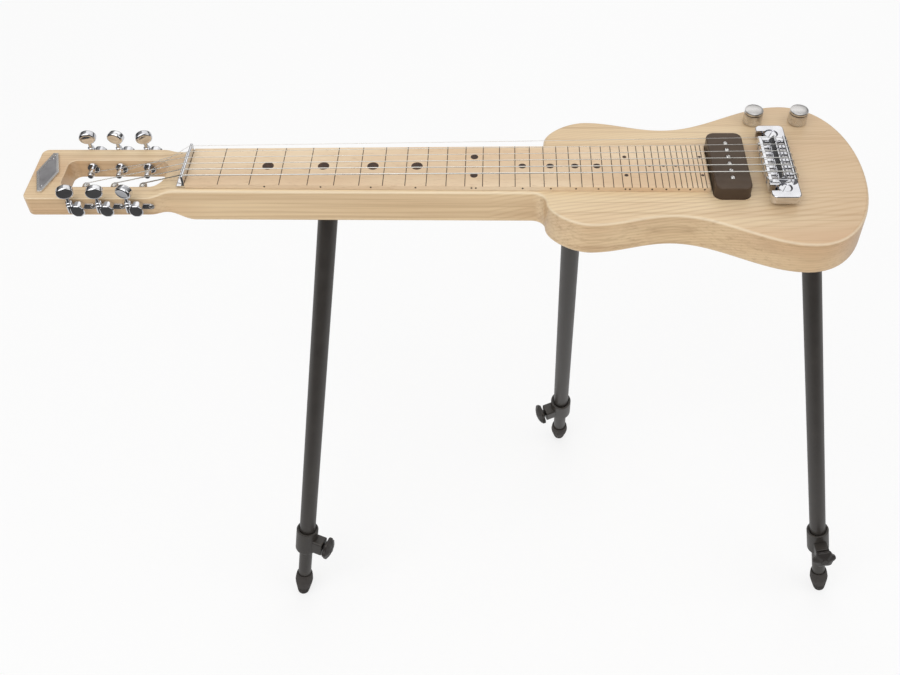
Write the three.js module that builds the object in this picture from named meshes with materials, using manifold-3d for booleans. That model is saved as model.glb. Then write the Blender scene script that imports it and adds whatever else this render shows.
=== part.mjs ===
// Six-string lap steel guitar on three splayed telescopic legs.
// Millimetres, +Z up. X runs along the strings from the head to the tail, and the player sits on the -Y side.
import * as THREE from 'three';
import { mergeVertices } from 'three/addons/utils/BufferGeometryUtils.js';
import Module from 'manifold-3d';

const wasm = await Module();
wasm.setup();

// Shared clearances, cutting allowance and side counts
const seatGap = 0.3;
const runGap = 0.3;
const overrun = 2;
const roundSides = 14;
const smallSides = 8;
const tinySides = 6;

// Strings, listed from the treble string on the far side to the bass string on the player's side
const scaleLength = 571.5;
const stringDiameters = [0.45, 0.5, 0.65, 0.85, 1.05, 1.3];
const stringCount = stringDiameters.length;
const nutStringPitch = 9;
const bridgeStringPitch = 10.4;
const nutStringHeight = 12.5;
const bridgeStringHeight = 20;
const windingTurns = 2.5;
const windingStepsPerTurn = 8;
const windingGap = 0.55;
const ballEndRadius = 1.9;
const ballEndLength = 3.2;
const stringSides = 4;
const anchorTurnRadius = 1.6;
const anchorTurnSteps = 3;

// Plank: head, neck and body in one piece of ash
const plankThickness = 38;
const plankEdgeRadius = 3.6;
const headLength = 155.5;
const headThickness = 21.7;
const headDrop = 3.3;
const headRampStart = 10.5;
const headRampLength = 27;
const headHalfWidth = 37.5;
const headCornerRadius = 7;
const headFlareStart = 38;
const headFlareEnd = 12;
const neckHalfWidthAtNut = 31;
const neckHalfWidthAtBody = 33;
const undersideStepStart = 29;
const undersideStepLength = 33;
const neckLength = 346;
const coveRadius = 13;
const upperBoutOffset = 43;
const upperBoutHalfWidth = 78.5;
const waistOffset = 77;
const waistHalfWidth = 65.7;
const lowerBoutOffset = 126;
const lowerBoutHalfWidth = 105.5;
const tailOffset = 66.5;
const shoulderRiseShare = 0.45;
const shoulderReachShare = 0.44;
const boutHandleShare = 0.35;
const waistHandleShare = 0.36;
const tailReachShare = 0.62;
const tailRiseShare = 0.57;
const outlineSteps = 5;

// Head slot, measured back from the nut
const slotStart = 24;
const slotEnd = 124;
const slotHalfWidth = 20;
const slotTipRadius = 8;
const slotNutRadius = 14;

// Fretboard with inlaid fret lines and position dots
const fretboardThickness = 5.5;
const fretboardHalfWidthAtNut = 27.2;
const fretboardHalfWidthAtEnd = 32.7;
const fretCount = 36;
const fretboardToPickup = 2.8;
const fretLineWidth = 0.8;
const fretLineDepth = 0.4;
const dotFrets = [3, 5, 7, 9, 15, 17, 19, 21, 27, 29, 31, 33];
const doubleDotFrets = [12, 24, 36];
const dotRadiusLow = 5.6;
const dotRadiusHigh = 3.7;
const dotRadiusTop = 1.4;
const doubleDotRadii = [3.7, 2, 3];
const doubleDotOffset = 14;
const lowDotLastFret = 9;
const highDotLastFret = 21;
const dotSides = 8;

// Nut: a folded metal blade with a foot toward the head
const nutLength = 52;
const nutBladeThickness = 2.6;
const nutFootLength = 6;
const nutFootThickness = 2.2;
const nutCrownAboveString = 0.7;
const nutEdgeRadius = 0.8;

// Tuning machines: a worm on the button's spindle turns a wheel on the string post
const tunerStations = [47, 75, 103];
const tunerAxisDepth = 12.7;
const buttonTurnShares = [0.06, -0.03, 0.02, 0.05, 0.035, -0.05];
const gearTeeth = 14;
const gearModule = 0.62;
const gearWidth = 2.2;
const gearTipClearance = 0.35;
const gearToothShare = 0.3;
const gearToothTipShare = 0.16;
const gearCentreStandoff = 4.2;
const wormPitchRadius = 1.9;
const wormRootRadius = 1.2;
const wormTipRadius = 2.45;
const wormPitches = 3;
const wormStepsPerTurn = 8;
const wormCrestShare = 0.16;
const wormBaseShare = 0.4;
const coverThickness = 9;
const coverRadius = 7.3;
const coverOffset = 1;
const coverTopShare = 0.72;
const coverStepShare = 0.62;
const coverSides = 8;
const barrelWall = 0.9;
const barrelRise = 3.2;
const plateThickness = 1.2;
const lugReach = 14;
const lugRadius = 3.2;
const sleeveRadius = 4.6;
const sleeveFlangeRadius = 6.2;
const sleeveFlangeThickness = 1.7;
const postRadius = 3;
const postWaistRadius = 2.5;
const postTipStandoff = 5.5;
const postTipWidth = 2;
const postWaistWidth = 8;
const buttonHalfWidth = 8.2;
const buttonHalfHeight = 6.6;
const buttonThickness = 8;
const buttonEdge = 2.6;
const buttonSteps = 5;
const buttonCentreHeight = 9.5;
const buttonShaftRadius = 1.9;
const buttonCollarRadius = 3.1;
const buttonCollarLength = 2.4;

// Pickup
const pickupLength = 86.5;
const pickupWidth = 35.3;
const pickupToBridge = 47.5;
const pickupRise = 13;
const pickupDepth = 9;
const pickupCornerRadius = 8;
const pickupWall = 1.6;
const pickupCrown = 1.4;
const pickupSteps = 3;
const polePitch = 10.5;
const poleRadius = 2.2;
const poleStandout = 0.5;
const coilReach = 26;
const coilWidth = 25;
const coilHeight = 9;
const coreWidth = 12;
const keeperLength = 81;
const keeperWidth = 24;
const keeperThickness = 3;

// Bridge, with heights above the deck
const bridgeLength = 110;
const bridgeWidth = 28;
const bridgeClearance = 4;
const bridgeDrop = 1.5;
const bridgeFloorHeight = 9;
const bridgeFrontHeight = 14.5;
const bridgeRearHeight = 17;
const bridgeFrontWall = 3.5;
const bridgeRearWall = 5;
const bridgeRearRadius = 4;
const rearWallSteps = 3;
const bridgeEdge = 1;
const bridgeTrayHalf = 33;
const bridgeLugHeight = 13;
const bridgeLugCorner = 5;
const lugSteps = 2;
const studSpacing = 82.5;
const studHeadRadius = 6.6;
const studHeadHeight = 3;
const studNeckRadius = 4;
const studCollarRadius = 6.4;
const studCollarHeight = 1.6;
const studShankRadius = 4;
const studShankLength = 20;
const studDriverWidth = 1.6;
const studDriverDepth = 1.5;
const studDriverTurnShare = 0.17;
const earThickness = 5.2;
const saddleLength = 9;
const saddleWidth = 9.2;
const saddleTravel = 4;
const saddleNoseShare = 0.1;
const saddleShoulderShare = 0.42;
const saddleScrewHeight = 11.7;
const saddleScrewRadius = 1.1;
const screwHeadRadius = 1.9;
const screwHeadLength = 1.4;
const anchorHoleHeight = 6.5;
const anchorHoleRadius = 1.8;

// Controls: knobs stand this far from the lower bout's widest station, between the bridge's end and the edge
const knobStations = [-31.6, 14.3];
const knobAcrossShare = 0.4554;
const knobRadius = 9.5;
const knobHeight = 16.3;
const knobSkirtClearance = 0.8;
const knobCapHeight = 4;
const knobDome = 1.4;
const knobGrooveHeight = 0.8;
const knobGrooveDepth = 1.1;
const knobFlutes = 18;
const knobFluteDepth = 0.45;
const knobHollowRadius = 7.4;
const knobHollowHeight = 5;
const potRadius = 8.5;
const potHeight = 9;
const potBushRadius = 4.7;
const potBushRise = 4;
const potNutRadius = 6.6;
const potNutHeight = 2;
const potShaftRadius = 3;
const potShaftDepthShare = 0.5;
const cavityRoof = 7;
const cavityRadius = 10.5;
const cavityLedge = 3.5;
const cavitySteps = 3;
const coverPlateThickness = 2;
const jackDepthBelowDeck = 19;
const jackPlateRadius = 13.5;
const jackPlateThickness = 1.6;
const jackBarrelRadius = 6;
const jackBarrelLength = 26;
const jackSocketRadius = 3.3;
const jackSocketDepth = 23;
const jackNutRadius = 7.5;
const jackNutHeight = 1;
const jackSeatDepth = 2.2;

// Legs: the head leg stands back from the nut and the others stand near the bouts' widest stations
const headLegStation = 130.8;
const rearLegBeforeBout = 13;
const rearLegAcross = 5;
const tailLegPastBout = 17;
const tailLegAcross = -26;
const legTiltDeg = 13.8;
const socketFlangeRadius = 20;
const socketFlangeThickness = 3;
const socketBossRadius = 13;
const socketBossHeight = 9;
const legStudRadius = 5;
const legStudLength = 18;
const legPlugLength = 8;
const upperTubeRadius = 10;
const upperTubeWall = 1.4;
const upperTubeLength = 514.7;
const collarRadius = 13.8;
const collarHeight = 38;
const collarEdge = 2;
const clampWidth = 17;
const clampHeight = 20;
const clampReach = 24.3;
const clampCentreRise = 15;
const lowerTubeRadius = 8.3;
const lowerTubeWall = 1.5;
const lowerTubeExposed = 43;
const lowerTubeHidden = 225;
const lowerTubeInFoot = 26;
const footHeight = 41;
const footRadius = 11.15;
const footHeightShares = [0, 0.045, 0.16, 0.42, 0.66, 0.76, 0.8, 1];
const footRadiusShares = [0.52, 0.66, 0.74, 0.86, 1, 1, 0.9, 0.88];
const footDomeDepth = 0.6;
const footFlatDepth = 0.5;
const screwRadius = 3;
const thumbRadius = 14.7;
const thumbThickness = 10;
const thumbStart = 26.5;
const thumbEdge = 1.5;
const thumbHubRadius = 6;
const thumbLobes = 6;
const thumbLobeShare = 0.14;
const thumbStepsPerLobe = 4;

// Finishes, seen as plain colours
const paint = (color, roughness, metalness) => new THREE.MeshStandardMaterial({ color, roughness, metalness });
const ash = () => paint(0xd9bd90, 0.45, 0);
const boardWood = () => paint(0xdcc09a, 0.5, 0);
const chrome = () => paint(0xc9c9cb, 0.15, 1);
const steel = () => paint(0xb4b4b0, 0.3, 1);
const blackPlastic = () => paint(0x1d1a18, 0.35, 0);
const coilTape = () => paint(0x2a2725, 0.8, 0);
const blackPaint = () => paint(0x2b2927, 0.45, 0.3);
const rubber = () => paint(0x232120, 0.85, 0);

const deg = THREE.MathUtils.degToRad;
const vec2 = (x, y) => new THREE.Vector2(x, y);
const vec3 = (x, y, z) => new THREE.Vector3(x, y, z);

// Solid modelling helpers
function toSolid(geometry) {
  const bare = geometry.clone();
  bare.deleteAttribute('normal');
  bare.deleteAttribute('uv');
  const welded = mergeVertices(bare);
  const vertProperties = new Float32Array(welded.attributes.position.array);
  const triVerts = new Uint32Array(welded.index.array);
  return new wasm.Manifold(new wasm.Mesh({ numProp: 3, vertProperties, triVerts }));
}

function fromSolid(solid) {
  const mesh = solid.getMesh();
  const geometry = new THREE.BufferGeometry();
  geometry.setAttribute('position', new THREE.BufferAttribute(new Float32Array(mesh.vertProperties), 3));
  geometry.setIndex(new THREE.BufferAttribute(new Uint32Array(mesh.triVerts), 1));
  geometry.computeVertexNormals();
  return geometry;
}

function combine(base, joined, removed = []) {
  let solid = toSolid(base);
  for (const piece of joined) solid = solid.add(toSolid(piece));
  for (const piece of removed) solid = solid.subtract(toSolid(piece));
  return fromSolid(solid);
}

// Shape helpers: every helper returns a closed geometry
function cylinder(radius, from, to, axis = 'z', sides = roundSides, endRadius = radius) {
  const geometry = new THREE.CylinderGeometry(endRadius, radius, to - from, sides);
  geometry.translate(0, (from + to) / 2, 0);
  if (axis === 'z') geometry.rotateX(Math.PI / 2);
  if (axis === 'x') geometry.rotateZ(-Math.PI / 2);
  return geometry;
}

function box(xFrom, xTo, yFrom, yTo, zFrom, zTo) {
  const geometry = new THREE.BoxGeometry(xTo - xFrom, yTo - yFrom, zTo - zFrom);
  return geometry.translate((xFrom + xTo) / 2, (yFrom + yTo) / 2, (zFrom + zTo) / 2);
}

function roundedRect(xFrom, xTo, yFrom, yTo, radii) {
  const [lowLow, highLow, highHigh, lowHigh] = radii;
  const shape = new THREE.Shape();
  shape.moveTo(xFrom + lowLow, yFrom);
  shape.lineTo(xTo - highLow, yFrom);
  shape.absarc(xTo - highLow, yFrom + highLow, highLow, -Math.PI / 2, 0, false);
  shape.lineTo(xTo, yTo - highHigh);
  shape.absarc(xTo - highHigh, yTo - highHigh, highHigh, 0, Math.PI / 2, false);
  shape.lineTo(xFrom + lowHigh, yTo);
  shape.absarc(xFrom + lowHigh, yTo - lowHigh, lowHigh, Math.PI / 2, Math.PI, false);
  shape.lineTo(xFrom, yFrom + lowLow);
  shape.absarc(xFrom + lowLow, yFrom + lowLow, lowLow, Math.PI, 1.5 * Math.PI, false);
  return shape;
}

function stadium(xFrom, xTo, y, radius) {
  return roundedRect(xFrom - radius, xTo + radius, y - radius, y + radius, [radius, radius, radius, radius]);
}

function prism(shape, from, to, edge = 0, curveSegments = 4, edgeSegments = 2) {
  const geometry = new THREE.ExtrudeGeometry(shape, {
    depth: to - from - 2 * edge,
    bevelEnabled: edge > 0,
    bevelThickness: edge,
    bevelSize: edge,
    bevelOffset: -edge,
    bevelSegments: edgeSegments,
    curveSegments,
  });
  return geometry.translate(0, 0, from + edge);
}

// A profile drawn in X and Z, pushed out along Y
function profileAlongY(points, yFrom, yTo) {
  const shape = new THREE.Shape(points.map(([x, z]) => vec2(x, z)));
  const geometry = new THREE.ExtrudeGeometry(shape, { depth: yTo - yFrom, bevelEnabled: false });
  geometry.rotateX(Math.PI / 2);
  return geometry.translate(0, yTo, 0);
}

// A profile of [radius, height] pairs turned about Z
function turned(profile, sides = roundSides) {
  const geometry = new THREE.LatheGeometry(profile.map(([radius, height]) => vec2(radius, height)), sides);
  return geometry.rotateX(Math.PI / 2);
}

// A wire whose rings stand at the points of its route
class RouteCurve extends THREE.Curve {
  constructor(points) {
    super();
    this.points = points;
  }

  getPoint(share, target = new THREE.Vector3()) {
    const last = this.points.length - 1;
    const place = Math.min(Math.max(share, 0), 1) * last;
    const index = Math.min(Math.floor(place), last - 1);
    return target.lerpVectors(this.points[index], this.points[index + 1], place - index);
  }

  getPointAt(share, target) {
    return this.getPoint(share, target);
  }

  getTangentAt(share, target = new THREE.Vector3()) {
    const last = this.points.length - 1;
    const index = Math.round(share * last);
    const here = this.points[index];
    target.set(0, 0, 0);
    if (index > 0) target.add(here.clone().sub(this.points[index - 1]).normalize());
    if (index < last) target.add(this.points[index + 1].clone().sub(here).normalize());
    return target.normalize();
  }
}

function wire(points, radius, sides = stringSides) {
  const section = new THREE.Shape();
  for (let side = 0; side < sides; side += 1) {
    const angle = (2 * Math.PI * side) / sides;
    const corner = vec2(radius * Math.cos(angle), radius * Math.sin(angle));
    if (side === 0) section.moveTo(corner.x, corner.y);
    else section.lineTo(corner.x, corner.y);
  }
  return new THREE.ExtrudeGeometry(section, {
    steps: points.length - 1,
    extrudePath: new RouteCurve(points),
    bevelEnabled: false,
  });
}

// Stations along the plank, all measured from the nut's front face
const headFloor = -headDrop - headThickness;
const shoulderStation = neckLength;
const upperBoutStation = shoulderStation + upperBoutOffset;
const waistStation = upperBoutStation + waistOffset;
const lowerBoutStation = waistStation + lowerBoutOffset;
const tailStation = lowerBoutStation + tailOffset;
const pickupStation = scaleLength - pickupToBridge;
const fretStation = (fret) => scaleLength * (1 - 2 ** (-fret / 12));
const fretboardEnd = pickupStation - pickupWidth / 2 - fretboardToPickup;
const bridgeEndY = bridgeLength / 2;
const knobY = bridgeEndY + knobAcrossShare * (lowerBoutHalfWidth - bridgeEndY);
const knobCentres = knobStations.map((offset) => vec2(lowerBoutStation + offset, knobY));
const stringY = (index, pitch) => ((stringCount - 1) / 2 - index) * pitch;
const jackStation = (knobCentres[0].x + knobCentres[1].x) / 2;
const jackSeatY = lowerBoutHalfWidth - jackSeatDepth;
const waistStart = postTipStandoff + postTipWidth;
const waistEnd = waistStart + postWaistWidth;
const rearLegStation = upperBoutStation - rearLegBeforeBout;
const tailLegStation = lowerBoutStation + tailLegPastBout;

// Leg seats on the underside, with the direction of the lean and the turn of the clamp screw about the leg
const legSeats = [
  { name: 'head', station: headLegStation, across: 0, leanDeg: 229.5, screwDeg: 111 },
  { name: 'rear', station: rearLegStation, across: rearLegAcross, leanDeg: 85, screwDeg: 116 },
  { name: 'tail', station: tailLegStation, across: tailLegAcross, leanDeg: 327, screwDeg: -54 },
];

// Heights of the bridge studs above the deck
const studPocketFloor = bridgeClearance + earThickness;
const studHeadBottom = studPocketFloor + seatGap;
const studHeadTop = studHeadBottom + studHeadHeight;
const studCollarTop = bridgeClearance - seatGap;
const studCollarBottom = studCollarTop - studCollarHeight;
const studBottom = studCollarBottom - studShankLength;

// Heights of the controls above the deck
const potTop = -cavityRoof - seatGap;
const potShaftBottom = potTop - potHeight * potShaftDepthShare;

// The span between two distances from the centre line, on one side of it
const spanAcross = (side, near, far) => (side > 0 ? [near, far] : [-far, -near]);

const guitar = new THREE.Group();

function addPiece(name, geometry, material, parent = guitar) {
  const mesh = new THREE.Mesh(geometry, material);
  mesh.name = name;
  parent.add(mesh);
  return mesh;
}

// Half of the plank's outline, from the middle of the head's tip to the middle of the tail
function plankHalfOutline() {
  const path = new THREE.Path();
  const flareMiddle = -(headFlareStart + headFlareEnd) / 2;
  const shoulderRise = upperBoutHalfWidth - neckHalfWidthAtBody - coveRadius;
  const waistToBout = lowerBoutStation - waistStation;
  path.moveTo(-headLength, 0);
  path.lineTo(-headLength, headHalfWidth - headCornerRadius);
  path.absarc(headCornerRadius - headLength, headHalfWidth - headCornerRadius, headCornerRadius,
    Math.PI, Math.PI / 2, true);
  path.lineTo(-headFlareStart, headHalfWidth);
  path.bezierCurveTo(
    flareMiddle, headHalfWidth,
    flareMiddle, neckHalfWidthAtNut,
    -headFlareEnd, neckHalfWidthAtNut);
  path.lineTo(shoulderStation - coveRadius, neckHalfWidthAtBody);
  path.absarc(shoulderStation - coveRadius, neckHalfWidthAtBody + coveRadius, coveRadius,
    -Math.PI / 2, 0, false);
  path.bezierCurveTo(
    shoulderStation, neckHalfWidthAtBody + coveRadius + shoulderRiseShare * shoulderRise,
    upperBoutStation - shoulderReachShare * upperBoutOffset, upperBoutHalfWidth,
    upperBoutStation, upperBoutHalfWidth);
  path.bezierCurveTo(
    upperBoutStation + boutHandleShare * waistOffset, upperBoutHalfWidth,
    waistStation - boutHandleShare * waistOffset, waistHalfWidth,
    waistStation, waistHalfWidth);
  path.bezierCurveTo(
    waistStation + waistHandleShare * waistToBout, waistHalfWidth,
    lowerBoutStation - waistHandleShare * waistToBout, lowerBoutHalfWidth,
    lowerBoutStation, lowerBoutHalfWidth);
  path.bezierCurveTo(
    lowerBoutStation + tailReachShare * tailOffset, lowerBoutHalfWidth,
    tailStation, tailRiseShare * lowerBoutHalfWidth,
    tailStation, 0);
  return path.getPoints(outlineSteps);
}

function plankShape() {
  const half = plankHalfOutline();
  const inner = half.slice(1, -1);
  const mirrored = inner.map((point) => vec2(point.x, -point.y)).reverse();
  return new THREE.Shape([half[0], ...inner, half[half.length - 1], ...mirrored].reverse());
}

// An S-shaped slope from one height to another along the plank
function slope(xFrom, length, zFrom, zTo) {
  const points = [];
  for (let step = 0; step <= outlineSteps; step += 1) {
    const share = step / outlineSteps;
    const eased = (1 - Math.cos(Math.PI * share)) / 2;
    points.push([xFrom + share * length, zFrom + eased * (zTo - zFrom)]);
  }
  return points;
}

// The underside rises behind the nut, so that the head is thinner than the neck
function undersideRelief() {
  const points = [
    [-headLength - overrun, -plankThickness - overrun],
    [-headLength - overrun, headFloor],
    ...slope(-undersideStepStart, undersideStepLength, headFloor, -plankThickness),
    [undersideStepLength - undersideStepStart, -plankThickness - overrun],
  ];
  return profileAlongY(points, -headHalfWidth - overrun, headHalfWidth + overrun);
}

// The head's top lies a little lower than the deck, with a ramp in front of the nut
function topRelief() {
  const points = [
    ...slope(-headRampStart - headRampLength, headRampLength, -headDrop, 0),
    [-headRampStart, overrun],
    [-headLength - overrun, overrun],
    [-headLength - overrun, -headDrop],
  ];
  return profileAlongY(points, -headHalfWidth - overrun, headHalfWidth + overrun);
}

const legDirection = (seat) => {
  const tilt = deg(legTiltDeg);
  const lean = deg(seat.leanDeg);
  return vec3(Math.sin(tilt) * Math.cos(lean), Math.sin(tilt) * Math.sin(lean), -Math.cos(tilt));
};

// Turns +Z onto the direction up the leg, with local X toward the lean, and stands it on the leg's seat
function legMatrix(seat) {
  const up = legDirection(seat).negate();
  const across = vec3(-Math.sin(deg(seat.leanDeg)), Math.cos(deg(seat.leanDeg)), 0);
  const outward = across.clone().cross(up);
  const matrix = new THREE.Matrix4().makeBasis(outward, across, up);
  return matrix.setPosition(seat.station, seat.across, -plankThickness);
}

function pickupOutline(grow, radius) {
  const halfWidth = pickupWidth / 2 + grow;
  const halfLength = pickupLength / 2 + grow;
  const corner = radius + grow;
  return roundedRect(pickupStation - halfWidth, pickupStation + halfWidth, -halfLength, halfLength,
    [corner, corner, corner, corner]);
}

function controlPocket(grow) {
  const [first, second] = knobCentres;
  return stadium(first.x, second.x, first.y, cavityRadius + grow);
}

// Two holes along Y at a tuner station, one through each rail of the head
function railHoles(station) {
  return [-1, 1].map((side) => cylinder(sleeveRadius + seatGap,
    ...spanAcross(side, slotHalfWidth - overrun, headHalfWidth + overrun), 'y', smallSides)
    .translate(-station, 0, -tunerAxisDepth));
}

function addPlank() {
  const slot = roundedRect(-slotEnd, -slotStart, -slotHalfWidth, slotHalfWidth,
    [slotTipRadius, slotNutRadius, slotNutRadius, slotTipRadius]);
  const jackHole = (radius, from) => cylinder(radius, from, jackSeatY + jackSeatDepth + overrun, 'y')
    .translate(jackStation, 0, -jackDepthBelowDeck);
  const removed = [
    undersideRelief(),
    topRelief(),
    prism(slot, headFloor - overrun, overrun),
    prism(pickupOutline(runGap, pickupCornerRadius), -pickupDepth - seatGap, overrun),
    prism(controlPocket(0), -plankThickness - overrun, -cavityRoof, 0, cavitySteps),
    prism(controlPocket(cavityLedge), -plankThickness - overrun,
      coverPlateThickness + seatGap - plankThickness, 0, cavitySteps),
    jackHole(jackPlateRadius + seatGap, jackSeatY),
    jackHole(jackBarrelRadius + seatGap, knobCentres[0].y),
    ...tunerStations.flatMap(railHoles),
  ];
  for (const centre of knobCentres) {
    removed.push(cylinder(potBushRadius + seatGap, -cavityRoof - overrun, overrun, 'z', smallSides)
      .translate(centre.x, centre.y, 0));
  }
  for (const side of [-1, 1]) {
    removed.push(cylinder(studShankRadius + seatGap, studBottom - bridgeDrop - seatGap, overrun)
      .translate(scaleLength, (side * studSpacing) / 2, 0));
  }
  for (const seat of legSeats) {
    const hole = cylinder(legStudRadius + 2 * seatGap, -socketBossHeight, legStudLength + seatGap,
      'z', smallSides);
    removed.push(hole.applyMatrix4(legMatrix(seat)));
  }
  const plank = prism(plankShape(), -plankThickness, 0, plankEdgeRadius);
  addPiece('body_neck_and_head', combine(plank, [], removed), ash());
}

function addFretboard() {
  const start = seatGap;
  const outline = new THREE.Shape([
    vec2(start, -fretboardHalfWidthAtNut),
    vec2(fretboardEnd, -fretboardHalfWidthAtEnd),
    vec2(fretboardEnd, fretboardHalfWidthAtEnd),
    vec2(start, fretboardHalfWidthAtNut),
  ]);
  const removed = [];
  const floor = fretboardThickness - fretLineDepth;
  const fits = (x, reach) => x + reach + fretLineWidth < fretboardEnd;
  for (let fret = 1; fret <= fretCount; fret += 1) {
    const x = fretStation(fret);
    const line = box(x - fretLineWidth / 2, x + fretLineWidth / 2, -fretboardHalfWidthAtEnd - overrun,
      fretboardHalfWidthAtEnd + overrun, floor, fretboardThickness + overrun);
    if (fits(x, fretLineWidth)) removed.push(line);
  }
  const dot = (x, y, radius) => {
    const hole = cylinder(radius, floor, fretboardThickness + overrun, 'z', dotSides);
    if (fits(x, radius)) removed.push(hole.translate(x, y, 0));
  };
  const between = (fret) => (fretStation(fret - 1) + fretStation(fret)) / 2;
  for (const fret of dotFrets) {
    let radius = dotRadiusTop;
    if (fret <= highDotLastFret) radius = dotRadiusHigh;
    if (fret <= lowDotLastFret) radius = dotRadiusLow;
    dot(between(fret), 0, radius);
  }
  doubleDotFrets.forEach((fret, index) => {
    for (const side of [-1, 1]) dot(between(fret), side * doubleDotOffset, doubleDotRadii[index]);
  });
  addPiece('fretboard', combine(prism(outline, seatGap, fretboardThickness), [], removed), boardWood());
}

function addNut() {
  const top = nutStringHeight + nutCrownAboveString;
  const profile = [
    [-nutFootLength - nutBladeThickness, seatGap],
    [0, seatGap],
    [0, top - nutEdgeRadius],
    [-nutEdgeRadius, top],
    [-nutBladeThickness + nutEdgeRadius, top],
    [-nutBladeThickness, top - nutEdgeRadius],
    [-nutBladeThickness, nutFootThickness + seatGap],
    [-nutFootLength - nutBladeThickness, nutFootThickness + seatGap],
  ];
  const removed = stringDiameters.map((diameter, index) => {
    const radius = diameter / 2 + seatGap;
    const notch = box(-nutBladeThickness - overrun, overrun, -radius, radius,
      nutStringHeight - radius, top + overrun);
    return notch.translate(0, stringY(index, nutStringPitch), 0);
  });
  addPiece('nut', combine(profileAlongY(profile, -nutLength / 2, nutLength / 2), [], removed), chrome());
}

// Tuning machines. Each is drawn for its own side: +1 is the far rail and -1 the player's rail.
const gearPitchRadius = (gearTeeth * gearModule) / 2;
const wormLead = Math.PI * gearModule;
const gearTipRadius = gearPitchRadius + gearModule - gearTipClearance / 2;
const gearRootRadius = gearPitchRadius - (wormTipRadius - wormPitchRadius) - gearTipClearance;
const wormOffset = gearPitchRadius + wormPitchRadius;
const wormTop = (wormPitches * wormLead) / 2;
const gearCentreY = headHalfWidth + gearCentreStandoff;

// The wheel has a gap between two teeth on its -X side, where the worm's crest lies
function gearGeometry() {
  const pitchAngle = (2 * Math.PI) / gearTeeth;
  const corners = [
    [-gearToothShare, gearRootRadius],
    [-gearToothTipShare, gearTipRadius],
    [gearToothTipShare, gearTipRadius],
    [gearToothShare, gearRootRadius],
  ];
  const points = [];
  for (let tooth = 0; tooth < gearTeeth; tooth += 1) {
    for (const [share, radius] of corners) {
      const angle = Math.PI + pitchAngle * (tooth + 0.5 + share);
      points.push(vec2(radius * Math.cos(angle), radius * Math.sin(angle)));
    }
  }
  return prism(new THREE.Shape(points), -gearWidth / 2, gearWidth / 2).rotateX(Math.PI / 2);
}

// A right-handed thread with a crest facing +X at height zero, swept as a four-sided rib
function wormThread() {
  const stepAngle = (2 * Math.PI) / wormStepsPerTurn;
  const steps = (wormPitches - 1) * wormStepsPerTurn;
  const halfCrest = (wormCrestShare * wormLead) / 2;
  const halfBase = (wormBaseShare * wormLead) / 2;
  const inner = wormRootRadius * Math.cos(stepAngle / 2) - runGap;
  const positions = [];
  const section = (step) => {
    const turn = (step - steps / 2) * stepAngle;
    const lift = (turn * wormLead) / (2 * Math.PI);
    const at = (radius, height) => vec3(radius * Math.cos(turn), radius * Math.sin(turn), height + lift);
    return [
      at(inner, -halfBase),
      at(wormTipRadius, -halfCrest),
      at(wormTipRadius, halfCrest),
      at(inner, halfBase),
    ];
  };
  const quad = (a, b, c, d) => {
    for (const point of [a, b, c, a, c, d]) positions.push(point.x, point.y, point.z);
  };
  for (let step = 0; step < steps; step += 1) {
    const here = section(step);
    const next = section(step + 1);
    here.forEach((corner, side) => {
      const after = (side + 1) % here.length;
      quad(corner, next[side], next[after], here[after]);
    });
  }
  quad(...section(0));
  quad(...section(steps).reverse());
  const thread = new THREE.BufferGeometry();
  thread.setAttribute('position', new THREE.Float32BufferAttribute(positions, 3));
  return thread;
}

// Case: gear cover, worm barrel, screw lug and the sleeve that lines the rail
function tunerHousing(side) {
  const across = (near, far) => spanAcross(side, near, far);
  const face = headHalfWidth + seatGap;
  const step = face + coverThickness * coverStepShare;
  const sleeveEnd = slotHalfWidth - seatGap;
  const crown = coverRadius * coverTopShare;
  const [barRadius, tipRadius] = side > 0 ? [coverRadius, crown] : [crown, coverRadius];
  const gearRoom = gearWidth / 2 + runGap;
  const gearAt = side * gearCentreY;
  const [plateLow, plateHigh] = across(face, face + plateThickness);
  const plate = prism(stadium(0, lugReach, 0, lugRadius), -plateHigh, -plateLow, 0, 1).rotateX(Math.PI / 2);
  const lump = cylinder(coverRadius, ...across(face, step), 'y', coverSides).translate(coverOffset, 0, 0);
  const capSpan = across(step - runGap, face + coverThickness);
  const cap = cylinder(barRadius, ...capSpan, 'y', coverSides, tipRadius);
  const barrelRadius = wormTipRadius + runGap + barrelWall;
  const barrelBottom = -wormTop - runGap - barrelWall;
  const barrel = cylinder(barrelRadius, barrelBottom, wormTop + barrelRise, 'z', smallSides);
  const joined = [
    cap.translate(coverOffset, 0, 0),
    barrel.translate(-wormOffset, gearAt, 0),
    plate,
    cylinder(sleeveRadius, ...across(sleeveEnd, face + plateThickness), 'y', smallSides),
    cylinder(sleeveFlangeRadius, ...across(sleeveEnd - sleeveFlangeThickness, sleeveEnd), 'y', smallSides),
  ];
  const wormBore = cylinder(wormTipRadius + runGap, -wormTop - runGap, wormTop + barrelRise + overrun,
    'z', smallSides);
  const removed = [
    cylinder(postRadius + runGap, ...across(sleeveEnd - sleeveFlangeThickness - overrun, gearCentreY),
      'y', smallSides),
    cylinder(gearTipRadius + runGap, gearAt - gearRoom, gearAt + gearRoom, 'y', gearTeeth),
    wormBore.translate(-wormOffset, gearAt, 0),
  ];
  return combine(lump, joined, removed);
}

// Post: tip, string waist, shaft and the wheel inside the case
function tunerPost(side) {
  const across = (near, far) => spanAcross(side, near, far);
  return combine(cylinder(postRadius, ...across(postTipStandoff, waistStart), 'y', smallSides), [
    cylinder(postWaistRadius, ...across(waistStart - seatGap, waistEnd + seatGap), 'y', smallSides),
    cylinder(postRadius, ...across(waistEnd, gearCentreY), 'y', smallSides),
    gearGeometry().translate(0, side * gearCentreY, 0),
  ]);
}

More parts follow.
